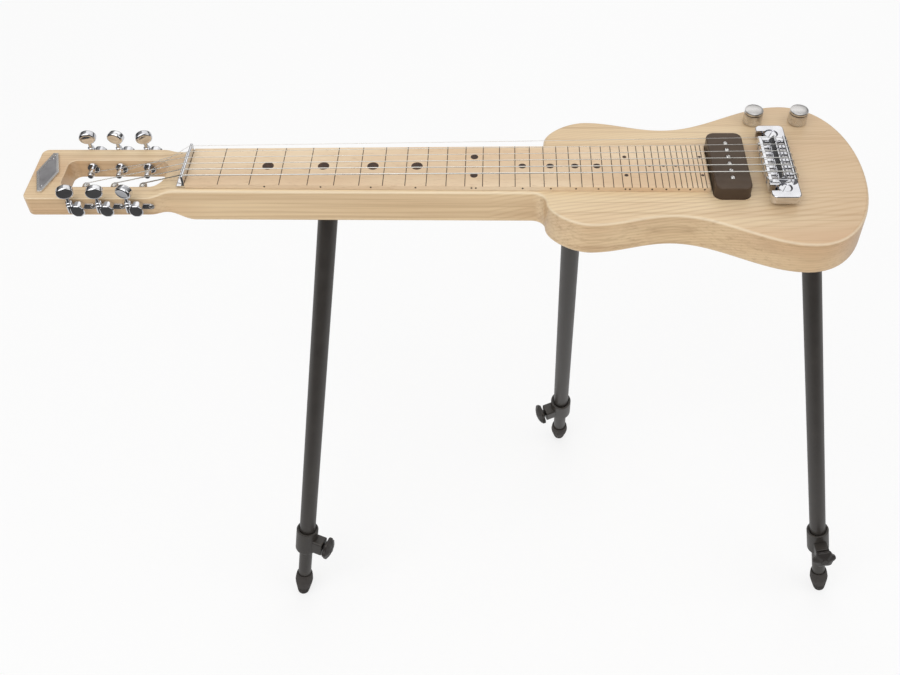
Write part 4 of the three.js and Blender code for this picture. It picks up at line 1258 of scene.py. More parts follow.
    def cut_pockets(self, plank: Object, strings: Strings) -> None:
        """Cuts the rooms for the pickup, controls, jack, studs, tuners and leg studs.

        Args:
            plank: The plank's solid.
            strings: The strings, which say where the bridge stands.
        """
        controls, machine, beyond = Controls(), TuningMachine(), self.overrun
        below, seat = -self.thickness - beyond, controls.jack_seat
        cover = stadium(*controls.centres, controls.cavity + controls.ledge)
        tools = [slab("pickup_room", Pickup().outline(0.5), -self.pickup_room, beyond),
                 slab("control_room", stadium(*controls.centres, controls.cavity), below, -self.control_room),
                 slab("cover_room", cover, below, self.cover_room - self.thickness)]
        tools += [rod("bush_hole", self.bush_bore, (*centre, -9), (*centre, beyond))
                  for centre in controls.centres]
        plate, barrel = self.jack_bores
        tools.append(rod("jack_room", plate, seat, seat + Vector((0, 20, 0)), 64))
        tools.append(rod("jack_hole", barrel, seat - Vector((0, 26, 0)), seat + Vector((0, beyond, 0))))
        for side in (-1, 1):
            stud = (strings.scale, side * Bridge().stud_spacing / 2)
            tools.append(rod("stud_hole", self.stud_bore, (*stud, -20), (*stud, beyond)))
            for station in machine.stations:
                inner = Vector((-station, side * (self.slot_half - 3), -machine.depth))
                tools.append(rod("rail_hole", self.rail_bore, inner, inner + Vector((0, side * 25, 0))))
        for leg in Leg.seats:
            low, high = (leg.matrix() @ Vector((0, 0, height)) for height in (-9, 18.3))
            tools.append(rod("leg_hole", self.leg_bore, low, high))
        for tool in tools:
            cut(plank, tool)


@dataclass
class Fretboard:
    """The board glued on the neck, with inlaid lines, position dots and side dots."""

    strings: Strings
    thickness: float = 5.5
    glue: float = 0.3
    half_at_nut: float = 27.2
    half_at_end: float = 32.7
    frets: int = 36
    tail: float = 3.5
    edge: float = 0.35
    line_width: float = 0.8
    inlay_depth: float = 0.4
    dots: tuple[tuple[int, float], ...] = ((3, 5.6), (5, 5.6), (7, 5.6), (9, 5.6), (15, 3.7), (17, 3.7),
                                           (19, 3.7), (21, 3.7), (27, 1.4), (29, 1.4), (31, 1.4), (33, 1.0))
    double_dots: tuple[tuple[int, float], ...] = ((12, 3.7), (24, 2.0), (36, 1.6))
    double_offset: float = 14.0
    side_dots: tuple[int, ...] = (3, 5, 7, 9, 15, 17, 19, 21, 27, 29, 31, 33, 36)
    side_pairs: tuple[int, ...] = (12, 24)
    side_dot_radius: float = 0.95
    side_dot_height: float = 0.56
    side_dot_ends: Point2 = (-1.0, 1.5)
    pair_offset: float = 2.1
    overrun: float = 2.0

    def fret(self, number: int) -> float:
        """A fret's distance from the nut."""
        return self.strings.scale * (1 - 2 ** (-number / 12))

    def between(self, number: int) -> float:
        """The middle of the space in front of a fret."""
        return (self.fret(number - 1) + self.fret(number)) / 2

    @property
    def end(self) -> float:
        """Where the board stops."""
        return self.fret(self.frets) + self.tail

    def half_width(self, x: float) -> float:
        """Half of the board's width at a station."""
        share = (x - self.glue) / (self.end - self.glue)
        return self.half_at_nut + (self.half_at_end - self.half_at_nut) * share

    def inlays(self) -> list[Object]:
        """All inlaid lines and dots as tools that stand through the board's top.

        Returns:
            The tools.
        """
        floor, top = self.thickness - self.inlay_depth, self.thickness + self.overrun
        half, reach = self.line_width / 2, self.half_at_end + self.overrun
        lines = [block("line", (x - half, -reach, floor), (x + half, reach, top))
                 for x in map(self.fret, range(1, self.frets + 1))]
        spots = [(self.between(number), 0.0, radius) for number, radius in self.dots]
        for number, radius in self.double_dots:
            spots += [(self.between(number), side * self.double_offset, radius) for side in (-1, 1)]
        return lines + [rod("dot", radius, (x, y, floor), (x, y, top), 40) for x, y, radius in spots]

    def side_marks(self) -> list[Object]:
        """The small dots on the player's side, with pairs at the octaves.

        Returns:
            The tools.
        """
        spots = [self.between(number) for number in self.side_dots]
        for number in self.side_pairs:
            spots += [self.between(number) + side * self.pair_offset for side in (-1, 1)]
        height = self.thickness * self.side_dot_height
        return [rod("side_dot", self.side_dot_radius,
                    *((x, end - self.half_width(x), height) for end in self.side_dot_ends), 20)
                for x in spots]

    def build(self, shop: Workshop) -> None:
        """Models the board and the inlays that fill its recesses.

        Args:
            shop: The workshop.
        """
        side = [(self.glue, self.half_at_nut), (self.end, self.half_at_end)]
        board = slab("fret_board", [(x, -y) for x, y in side] + side[::-1], self.glue, self.thickness,
                     edge=self.edge, ends=Rims.HIGH)
        inlays = combine("INTERSECT", copy_of(board, "fret_inlays"), self.inlays())
        marks = combine("INTERSECT", copy_of(board, "side_dots"), self.side_marks())
        cut(board, *self.inlays())
        cut(board, *self.side_marks())
        shop.deliver(board, shop.finishes.board, "instrument", ["fretboard"])
        for inlay in (inlays, marks):
            shop.deliver(inlay, shop.finishes.inlay, "instrument")


@dataclass
class Nut:
    """A folded metal blade with a foot toward the head and a notch for each string."""

    strings: Strings
    length: float = 52.0
    blade: float = 2.6
    foot: float = 6.0
    foot_thickness: float = 2.2
    crown: float = 0.7
    bend: float = 1.2
    toe_radius: float = 0.8

    def build(self, shop: Workshop) -> None:
        """Models the blade.

        Args:
            shop: The workshop.
        """
        height, gap = self.strings.nut_height, self.strings.gap
        top, heel, instep = height + self.crown, -self.foot - self.blade, gap + self.foot_thickness
        inside = arc((-self.blade - self.bend, instep + self.bend), self.bend, 0, -0.25, 5)
        toe = arc((heel + self.toe_radius, instep - self.toe_radius), self.toe_radius, 0.25, 0.5, 4)
        crown = arc((-self.blade / 2, top - self.blade / 2), self.blade / 2 - 0.001, 0, 0.5, 10)
        profile = [(heel, gap), (0, gap), *crown, *inside, *toe]
        blade = slab("nut_blade", profile, -self.length / 2, self.length / 2, Axis.Y, edge=0.5)
        for index, diameter in enumerate(self.strings.diameters):
            y = self.strings.across(index, self.strings.nut_pitch)
            radius = diameter / 2 + gap
            mouth = [(y + radius * 1.5, top + 1), (y - radius * 1.5, top + 1)]
            outline = [*arc((y, height), radius, 0.5, 1.0, 8), *mouth]
            notch = slab("notch", outline, -self.blade - 2, 2, Axis.X)
            cut(blade, notch)
        shop.deliver(blade, shop.finishes.chrome, "instrument", ["nut"])


@dataclass
class HeadPlate:
    """The bare plate near the head's tip: a rhombus with blunt ends, its raised rim round a darker field."""

    centre: float = -140.1
    half_length: float = 29.2
    half_width: float = 11.0
    blunt: float = 2.3
    seat: float = 0.02 - Plank.head_drop
    thickness: float = 1.9
    rim: float = 1.9
    recess: float = 0.7
    pin_radius: float = 0.8
    pin_place: float = 20.5
    edge: float = 0.45
    groove: float = 0.25
    field_gap: float = 0.9

    def outline(self, inset: float) -> list[Point2]:
        """The six corners, drawn in by a share of the rhombus."""
        wide, long, blunt = self.half_width - inset, self.half_length - inset * 1.6, self.blunt - inset * 0.3
        half = [(-wide, 0.0), (-blunt, -long), (blunt, -long)]
        return [(self.centre + x, y) for x, y in half + [(-x, -y) for x, y in half]]

    def build(self, shop: Workshop) -> None:
        """Models the plate, its field and its two pins.

        Args:
            shop: The workshop.
        """
        top = self.seat + self.thickness
        plate = slab("head_plate", self.outline(0), self.seat, top)
        with edit_mode(plate):
            pick(plate, "EDGE", lambda corners: not level(corners, self.seat))
            bpy.ops.mesh.bevel(offset=self.edge, segments=3, affect="EDGES")
            pick(plate, "FACE", lambda corners: level(corners, top))
            bpy.ops.mesh.inset(thickness=self.rim)
            bpy.ops.mesh.inset(thickness=self.groove)
            bpy.ops.transform.translate(value=(0, 0, -self.recess))
        shop.deliver(plate, shop.finishes.nickel, "instrument")
        floor = top - self.recess
        field = slab("head_plate_field", self.outline(self.rim + self.field_gap), floor - 0.2, floor + 0.08,
                     edge=0.05, segments=1, ends=Rims.HIGH)
        shop.deliver(field, shop.finishes.plate, "instrument")
        dome = [(0, 0), (self.pin_radius, 0), *arc((0, 0), self.pin_radius, 0, 0.25, 5)]
        pin = lathe("head_plate_pin", dome, 20)
        for number, side in enumerate((-1, 1), 1):
            shop.deliver(copy_of(pin, f"head_plate_pin_{number}"), shop.finishes.chrome,
                         "instrument", place=moved(self.centre, side * self.pin_place, floor))
        discard(pin)


@dataclass
class TuningMachine:
    """One tuning machine, drawn for the far rail about the post's axis and mirrored for the near rail."""

    stations: tuple[float, ...] = (47.0, 75.0, 103.0)
    depth: float = 12.7
    button_turns: tuple[float, ...] = (0.06, -0.03, 0.02, 0.05, 0.035, -0.05)
    rail_outer: float = 37.8
    rail_inner: float = 19.7
    gear_across: float = 41.7
    worm_offset: float = -6.24
    worm_top: float = 2.92
    cover_radius: float = 7.3
    cover_shift: float = 1.0
    cover_thickness: float = 9.0
    barrel_radius: float = 3.65
    barrel_rise: float = 3.2
    lug_reach: float = 14.0
    lug_radius: float = 3.2
    plate_thickness: float = 1.2
    sleeve_radius: float = 4.6
    flange_radius: float = 6.2
    flange_thickness: float = 1.7
    post_radius: float = 3.0
    waist_radius: float = 2.5
    waist: Point2 = (7.5, 15.5)
    post_tip: float = 5.5
    grip: Point2 = (8.2, 6.6)
    grip_thickness: float = 8.0
    grip_height: float = 20.8
    teeth: int = 14
    tooth: Point2 = (3.44, 4.785)
    tooth_shares: Point2 = (0.3, 0.16)
    module: float = 0.62
    spindle: tuple[Point2, ...] = ((1.9, 0.0), (2.7, 0.0), (3.1, 0.4), (3.1, 2.0), (2.7, 2.4), (2.1, 2.7),
                                   (1.9, 3.4))

    def case(self) -> Object:
        """The case: cover, worm barrel, screw lug and the sleeve that lines the rail.

        Returns:
            The case, with its bores.
        """
        face, outer = self.rail_outer, self.rail_outer + self.cover_thickness
        ring = [(x + self.cover_shift, z) for x, z in around([self.cover_radius] * 8, 0.5)]
        case = slab("tuner_case", ring, face, outer, Axis.Y)
        round_edges(case, lambda corners: abs(corners[0].y - corners[1].y) > 1, 1.5, 4)
        round_edges(case, lambda corners: level(corners, outer, Axis.Y), 1.7, 5)
        low, high, radius = -self.worm_top, self.worm_top + self.barrel_rise, self.barrel_radius
        at_worm = moved(self.worm_offset, self.gear_across, 0)
        barrel = settle(lathe("barrel", [(0, low - 1.2), (radius - 0.8, low - 1.2), (radius, low - 0.4),
                                         (radius, high - 0.6), (radius - 0.6, high), (0, high)], 32), at_worm)
        plate = slab("lug", stadium((0, 0), (self.lug_reach, 0), self.lug_radius), face + 0.02,
                     face + self.plate_thickness, Axis.Y, edge=0.35, ends=Rims.HIGH)
        inner, flange, tube = self.rail_inner, self.flange_radius, self.sleeve_radius
        sleeve = lathe("sleeve", [(0, inner - self.flange_thickness), (flange - 0.7, inner - 1.7),
                                  (flange - 0.15, inner - 1.2), (flange, inner - 0.5), (flange, inner),
                                  (tube, inner), (tube, face + 0.5), (0, face + 0.5)], 40, Axis.Y)
        fuse(case, barrel, plate, sleeve)
        gear, bore, room = self.gear_across, self.post_radius + 0.3, 5.08
        cut(case, lathe("post_bore", [(0, 10), (bore, 10), (bore, gear), (0, gear)], 32, Axis.Y))
        cut(case, lathe("gear_room", [(0, gear - 1.4), (room, gear - 1.4), (room, gear + 1.4),
                                      (0, gear + 1.4)], 32, Axis.Y))
        worm_bore = lathe("worm_bore", [(0, low - 0.3), (2.75, low - 0.3), (2.75, 12), (0, 12)], 32)
        return cut(case, settle(worm_bore, at_worm))

    def post(self) -> Object:
        """The string post: round tip, waist, shaft and the toothed wheel in the case.

        Returns:
            The post.
        """
        radius, waist = self.post_radius, self.waist_radius
        (low, high), gear = self.waist, self.gear_across
        tip = arc((radius - 1.0, self.post_tip + 1.0), 1.0, -0.25, 0, 5)
        inner = arc((radius, low + 0.6), 0.5, -0.25, -0.5, 4)
        outer = arc((radius, high - 0.6), 0.5, 0.5, 0.25, 4)
        post = lathe("tuner_post", [(0, self.post_tip), *tip, *inner, (waist, low + 0.8), (waist, high - 0.8),
                                    *outer, (radius, gear), (0, gear)], 32, Axis.Y)
        return fuse(post, slab("wheel", self.wheel_outline(), gear - 1.1, gear + 1.1, Axis.Y, edge=0.15,
                               segments=1))

    def wheel_outline(self) -> list[Point2]:
        """The wheel's teeth round the post's axis.

        Returns:
            The outline's points.
        """
        (root, tip), (foot, crest) = self.tooth, self.tooth_shares
        outline = []
        for tooth in range(self.teeth):
            for share, radius in ((-foot, root), (-crest, tip), (crest, tip), (foot, root)):
                angle = math.pi + TURN * (tooth + 0.5 + share) / self.teeth
                outline.append((radius * math.cos(angle), -radius * math.sin(angle)))
        return outline

    def button(self) -> Object:
        """The oval button on its spindle with a collar.

        Returns:
            The button.
        """
        (wide, tall), thick, height = self.grip, self.grip_thickness / 2, self.grip_height
        oval = [(wide * x, height + tall * z) for x, z in around([1.0] * 56)]
        grip = slab("tuner_button", oval, -thick, thick, Axis.Y, edge=2.1, segments=4)
        with edit_mode(grip):
            pick(grip, "FACE", lambda corners: any(level(corners, end, Axis.Y) for end in (-thick, thick)))
            bpy.ops.mesh.inset(thickness=1.2)
            bpy.ops.transform.resize(value=(1, 0.9, 1), center_override=(0, 0, height))
        low, seat = -self.worm_top, self.worm_top + 0.3
        collar = self.worm_top + self.barrel_rise + 0.3
        profile = [(0, low), (1.2, low), (1.2, seat), (1.9, seat),
                   *((radius, collar + rise) for radius, rise in self.spindle), (1.9, height), (0, height)]
        return fuse(grip, lathe("spindle", profile, 32))

    def worm(self) -> Object:
        """The worm: a tooth swept round the spindle, as a separate solid on it.

        Returns:
            The worm.
        """
        lead = math.pi * self.module
        section = [(1.1, -0.2 * lead), (2.45, -0.08 * lead), (2.45, 0.08 * lead), (1.1, 0.2 * lead)]
        worm = draw("tuner_worm", [Vector((radius, 0, height - lead)) for radius, height in section],
                    closed=True)
        apply_modifier(worm, "SCREW", angle=TURN, screw_offset=lead, iterations=2, steps=24, render_steps=24,
                       use_merge_vertices=False)
        with edit_mode(worm):
            bpy.ops.mesh.select_all(action="SELECT")
            bpy.ops.mesh.remove_doubles(threshold=WELD)
            bpy.ops.mesh.fill_holes(sides=4)
            bpy.ops.mesh.normals_make_consistent(inside=False)
        return worm

    def build(self, shop: Workshop) -> None:
        """Models one machine and places it six times.

        Args:
            shop: The workshop.
        """
        case, post, button, worm = self.case(), self.post(), self.button(), self.worm()
        screw = screw_head("tuner_screw", 2.3, 1.1)
        chrome, nickel = shop.finishes.chrome, shop.finishes.nickel
        for side in (1, -1):
            for row, station in enumerate(self.stations):
                number = row + 1 if side > 0 else 6 - row
                at, share = moved(-station, 0, -self.depth), self.button_turns[number - 1]
                facing = at @ Matrix.Scale(side, 4, (0, 1, 0))
                shop.deliver(copy_of(case, f"tuner_{number}_case"), chrome, "instrument",
                             [f"tuner_housing_{number}"], facing)
                body = f"tuner_post_{number}"
                shop.deliver(copy_of(post, f"tuner_{number}_post"), chrome, body, [body], facing)
                stem = at @ moved(self.worm_offset, side * self.gear_across, 0) @ turned(share, "Z")
                body = f"tuner_button_{number}"
                shop.deliver(copy_of(button, f"tuner_{number}_button"), chrome, body, [body],
                             stem)
                shop.deliver(copy_of(worm, f"tuner_{number}_worm"), chrome, body, place=stem)
                lug = facing @ moved(self.lug_reach, self.rail_outer + self.plate_thickness, 0)
                shop.deliver(copy_of(screw, f"tuner_{number}_screw"), nickel, "instrument",
                             place=lug @ turned(-0.25, "X") @ turned(share * 3, "Z"))
        discard(case, post, button, worm, screw)


@dataclass
class Pickup:
    """The pickup: a rounded black cover over the coil, with six pole screws."""

    centre: float = 524.0
    length: float = 86.5
    width: float = 35.3
    rise: float = 13.0
    depth: float = 9.0
    corner: float = 8.0
    wall: float = 1.6
    crown: float = 1.6
    pole_pitch: float = 10.5
    pole_radius: float = 2.2
    pole_standout: float = 0.5
    pole_turns: tuple[float, ...] = (0.1, 0.22, 0.31, 0.05, 0.16, 0.4)
    coil_half: Point2 = (26.0, 12.5)
    coil_height: float = 9.0
    keeper_half: Point2 = (12.0, 40.5)

    def outline(self, grow: float) -> list[Point2]:
        """The cover's outline, grown or shrunk."""
        half_width, half_length = self.width / 2 + grow, self.length / 2 + grow
        return rounded_box((self.centre - half_width, -half_length), (self.centre + half_width, half_length),
                           [self.corner + grow] * 4, 12)

    def build(self, shop: Workshop) -> None:
        """Models the cover, coil and pole screws.

        Args:
            shop: The workshop.
        """
        centre, radius = self.centre, self.pole_radius
        poles = [(2.5 - index) * self.pole_pitch for index in range(6)]
        cover = slab("pickup_shell", self.outline(0), -self.depth, self.rise, edge=self.crown, segments=6,
                     ends=Rims.HIGH)
        cut(cover, slab("inside", self.outline(-self.wall), -self.depth - 3, self.rise - self.wall))
        for y in poles:
            cut(cover, rod("pole_hole", radius + 0.3, (centre, y, 5), (centre, y, 20), 32))
        round_edges(cover, lambda corners: level(corners, self.rise) and all(
            any(math.hypot(corner.x - centre, corner.y - y) < radius + 0.4 for y in poles)
            for corner in corners), 0.2, 2)
        shop.deliver(cover, shop.finishes.plastic, "instrument", ["pickup_cover"])

        coil_top = self.rise - self.wall - 0.3
        reach, round_end = self.coil_half
        coil = slab("pickup_coil",
                    [(centre + y, x) for x, y in stadium((-reach, 0), (reach, 0), round_end)][::-1],
                    coil_top - self.coil_height, coil_top, edge=0.6)
        core = block("core", (centre - 6, -reach, -self.depth + 1), (centre + 6, reach, coil_top - 2))
        wide, long = self.keeper_half
        fuse(coil, core, block("keeper", (centre - wide, -long, -self.depth),
                               (centre + wide, long, 3 - self.depth)))
        shop.deliver(coil, shop.finishes.tape, "instrument", ["pickup_coil_and_poles"])

        top = self.rise + self.pole_standout
        shank, shoulder = radius - 0.4, self.rise - 1.4
        profile = [(0, coil_top - 1), (shank, coil_top - 1), (shank, shoulder), (radius, shoulder),
                   (radius, top - 0.5), (radius - 0.5, top), (0, top)]
        pole = cut(lathe("pole", profile, 32), block("slot", (-3, -0.55, top - 1.1), (3, 0.55, top + 1)))
        for number, (y, share) in enumerate(zip(poles, self.pole_turns), 1):
            shop.deliver(copy_of(pole, f"pole_screw_{number}"), shop.finishes.nickel, "instrument",
                         place=moved(centre, y, 0) @ turned(share, "Z"))
        discard(pole)


def ridges(count: int, pitch: float, marks: Sequence[Point2]) -> list[Point2]:
    """The points of a thread in a turned profile.

    Args:
        count: How many turns it has.
        pitch: The height of one turn.
        marks: The points of the first turn, as radius and height.

    Returns:
        The points in order.
    """
    return [(radius, height + turn * pitch) for turn in range(count) for radius, height in marks]


@dataclass
class Bridge:
    """The wraparound bridge: a tray with forked ends, six saddles on captive screws and two height studs."""

    length: float = 110.0
    width: float = 28.0
    clearance: float = 4.0
    floor: float = 9.0
    front_height: float = 14.5
    rear_height: float = 17.0
    front_wall: float = 3.5
    rear_wall: float = 5.0
    rear_radius: float = 4.0
    tray_half: float = 33.0
    lug_height: float = 13.0
    lug_corner: float = 5.0
    stud_spacing: float = 82.5
    head_radius: float = 6.6
    neck_radius: float = 4.0
    pocket_floor: float = 9.2
    saddle_length: float = 9.0
    saddle_width: float = 9.2
    screw_height: float = 11.7
    anchor_height: float = 6.5
    sink_radius: float = 2.1
    sink_depth: float = 4.6
    stud_collar: tuple[Point2, ...] = ((4.0, 2.1), (6.0, 2.1), (6.4, 2.5), (6.4, 3.3), (6.0, 3.7), (4.0, 3.7))
    stud_head: tuple[Point2, ...] = ((4.0, 9.5), (6.1, 9.5), (6.6, 10.0), (6.6, 11.2))

    def tray(self, strings: Strings) -> Object:
        """The tray and its forked ends as one casting.

        Args:
            strings: The strings that run through its walls.

        Returns:
            The tray.
        """
        half, low, floor = self.width / 2, self.clearance, self.floor
        front, rear = self.front_wall - half, half - self.rear_wall
        brow, back = self.front_height, self.rear_height
        round_back = arc((half - self.rear_radius, back - self.rear_radius), self.rear_radius, 0, 0.25, 8)
        profile = [(0.8 - half, low), (half - 0.8, low), (half, low + 0.8), *round_back, (rear + 0.6, back),
                   (rear, back - 0.6), (rear, floor + 0.5), (rear - 0.5, floor), (front + 1, floor),
                   (front, floor + 1), (front, brow - 0.6), (front - 0.6, brow), (1.2 - half, brow),
                   (0.35 - half, brow - 0.35), (-half, brow - 1.2), (-half, low + 0.8)]
        tray = slab("bridge_tray", profile, -self.tray_half, self.tray_half, Axis.Y, edge=0.5)
        for side in (-1, 1):
            near, far = sorted((side * (self.tray_half - 2), side * self.length / 2))
            radii = [2, 2, self.lug_corner, self.lug_corner][::side]
            y = side * self.stud_spacing / 2
            fuse(tray, slab("lug", rounded_box((-half, near), (half, far), radii), low, self.lug_height,
                            edge=1.2, segments=4))
            cut(tray, rod("pocket", self.head_radius + 0.3, (0, y, self.pocket_floor), (0, y, 20), 48))
            cut(tray, slab("fork", stadium((-half - 8, y), (0, y), self.neck_radius + 0.3), 0, 20))
        for index in range(len(strings.diameters)):
            y, height = strings.across(index, strings.bridge_pitch), self.anchor_height
            start = (-half - 2, y, height)
            cut(tray, rod("anchor", 1.4, start, (half + 2, y, height), 24),
                rod("ball_sink", self.sink_radius, start, (self.sink_depth - half, y, height)))
        return tray

    def saddle(self, name: str, diameter: float, strings: Strings) -> Object:
        """One saddle: a block that rises to a grooved crest under its string.

        Args:
            name: The saddle's name.
            diameter: Its string's diameter.
            strings: The strings' places.

        Returns:
            The saddle.
        """
        half, bottom = self.saddle_length / 2, self.floor + 0.3
        top = strings.bridge_height - diameter / 2 - strings.gap + 0.25
        shoulder = bottom + 0.42 * (top - bottom)
        profile = [(-half, bottom), (half, bottom), (half, shoulder),
                   *arc((0, top - 1.0), 1.0, 0.08, 0.42, 6), (-half, shoulder)]
        saddle = slab(name, profile, -self.saddle_width / 2, self.saddle_width / 2, Axis.Y, edge=0.55)
        for radius, height, sides in ((diameter / 2 + strings.gap, strings.bridge_height, 20),
                                      (1.4, self.screw_height, 24)):
            cut(saddle, rod("bore", radius, (-half - 1, 0, height), (half + 1, 0, height), sides))
        return saddle

    def screw(self) -> Object:
        """A captive saddle screw with its head in front of the tray, and threads.

        Returns:
            The screw.
        """
        half, pitch = self.width / 2, 0.5
        start, first, end = -half - 1.4, self.front_wall - half, half - self.rear_wall + 0.3
        thread = ridges(int((end - first) / pitch), pitch, ((1.1, first + 0.1), (0.9, first + 0.35)))
        profile = [(0, start), (1.5, start), (1.9, start + 0.4), (1.9, -half), (1.0, -half), *thread,
                   (0.9, end), (0, end)]
        return cut(lathe("saddle_screw", profile, 20, Axis.X),
                   block("slot", (start - 1, -0.3, -3), (start + 0.6, 0.3, 3)))

    def stud(self) -> Object:
        """A height stud: slotted head, neck, collar and threaded shank.

        Returns:
            The stud.
        """
        profile = [(0, -17.9), (3.4, -17.9), *ridges(14, 1.25, ((4.0, -17.2), (3.5, -16.6))),
                   *self.stud_collar, *self.stud_head, *arc((5.0, 10.9), 1.6, 0.03, 0.25, 6), (0, 12.5)]
        driver = settle(block("driver", (-8, -0.8, 11.0), (8, 0.8, 14)), turned(0.17, "Z"))
        return cut(lathe("stud", profile, 48), driver)

    def build(self, shop: Workshop, strings: Strings) -> None:
        """Models the bridge and everything on it.

        Args:
            shop: The workshop.
            strings: The strings' places.
        """
        at, chrome = moved(strings.scale, 0, 0), shop.finishes.chrome
        screw, stud = self.screw(), self.stud()
        shop.deliver(self.tray(strings), chrome, "bridge", ["bridge_body"], at)
        for index, diameter in enumerate(strings.diameters):
            body = f"saddle_{index + 1}"
            spot = at @ moved(0, strings.across(index, strings.bridge_pitch), 0)
            saddle = self.saddle(f"{body}_block", diameter, strings)
            shop.deliver(saddle, chrome, body, [body], spot)
            shop.deliver(copy_of(screw, f"saddle_screw_{index + 1}"), shop.finishes.nickel,
                         "bridge", place=spot @ moved(0, 0, self.screw_height) @ turned(0.11 * index, "X"))
        for name, side in (("far", 1), ("near", -1)):
            body = f"bridge_stud_{name}"
            shop.deliver(copy_of(stud, f"height_stud_{name}"), chrome, body, [body],
                         at @ moved(0, side * self.stud_spacing / 2, 0))
        discard(screw, stud)


def tangent_angle(centre: Point2, radius: float, point: Point2, sign: int) -> float:
    """The angle at which a line from a point touches a circle.

    Args:
        centre: The circle's centre.
        radius: Its radius.
        point: Where the line comes from.
        sign: Which of the two touching lines is meant.

    Returns:
        The angle in radians.
    """
    reach = (point[0] - centre[0], point[1] - centre[1])
    return math.atan2(reach[1], reach[0]) + sign * math.acos(radius / math.hypot(*reach))


@dataclass
class StringSet:
    """The six strings from their ball ends to their turns on the posts."""

    strings: Strings
    bridge: Bridge
    machine: TuningMachine
    travel: float = 4.0
    turn_radius: float = 1.6
    nut_depth: float = 2.6

    def route(self, index: int) -> list[Vector]:
        """The middle line of one string, from the ball end to the post.

        Args:
            index: The string's place in the row, from the far side.

        Returns:
            The line's points.
        """
        strings, bridge, turn = self.strings, self.bridge, self.turn_radius
        half, low = bridge.width / 2, bridge.anchor_height
        standoff = strings.diameters[index] / 2 + strings.gap
        start = bridge.sink_depth - half - strings.gap - strings.ball_radius
        wall = (half - bridge.rear_radius, bridge.rear_height - bridge.rear_radius)
        crest = (self.travel + 0.1 * bridge.saddle_length + strings.gap, strings.bridge_height)
        reach = bridge.rear_radius + standoff
        over = tangent_angle(wall, reach, crest, -1) / TURN
        spots = [(start, low), *arc((half + standoff - turn, low + turn), turn, -0.25, 0, 6),
                 *arc(wall, reach, 0, over, 8), crest, (0, strings.bridge_height)]
        y = strings.across(index, strings.bridge_pitch)
        return [Vector((strings.scale + x, y, z)) for x, z in spots] + self.headward(index)

    def headward(self, index: int) -> list[Vector]:
        """The stretch over the nut and the turns on the post.

        Args:
            index: The string's place in the row, from the far side.

        Returns:
            The line's points.
        """
        strings, machine = self.strings, self.machine
        side, row = (1, index) if index < 3 else (-1, 5 - index)
        radius, y = strings.diameters[index] / 2, strings.across(index, strings.nut_pitch)
        post, back = (-machine.stations[row], -machine.depth), (-self.nut_depth, strings.nut_height)
        coil = machine.waist_radius + strings.gap + radius
        arrival = machine.waist[0] + radius + strings.gap
        start = tangent_angle(post, coil, back, 1) / TURN
        turns = arc(post, coil, start, start + strings.turns, int(strings.turns * strings.turn_steps))
        rise = (2 * radius + strings.winding_gap) / strings.turn_steps
        points = [Vector((x, y, back[1])) for x in (0, back[0])]
        return points + [Vector((x, side * (arrival + rise * step), z)) for step, (x, z) in enumerate(turns)]

    def build(self, shop: Workshop) -> None:
        """Models the wires and the balls at their ends.

        Args:
            shop: The workshop.
        """
        strings = self.strings
        reach, rim = strings.ball_length / 2, strings.ball_radius
        waist = rim - 0.5
        profile = [(0, -reach), (rim - 0.3, -reach), (rim, 0.35 - reach), (waist, 0.7 - reach),
                   (waist, reach - 0.7), (rim, reach - 0.35), (rim - 0.3, reach), (0, reach)]
        for index, diameter in enumerate(strings.diameters):
            points = self.route(index)
            string = wire(f"string_{index + 1}_wire", points, diameter / 2, 3)
            weld(string, settle(lathe("ball", profile, 24, Axis.X), Matrix.Translation(points[0])))
            wound = index >= strings.wound_from
            material = shop.finishes.wound_string if wound else shop.finishes.plain_string
            shop.deliver(string, material, None, [f"string_{index + 1}"], smooth=60)
            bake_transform(string)


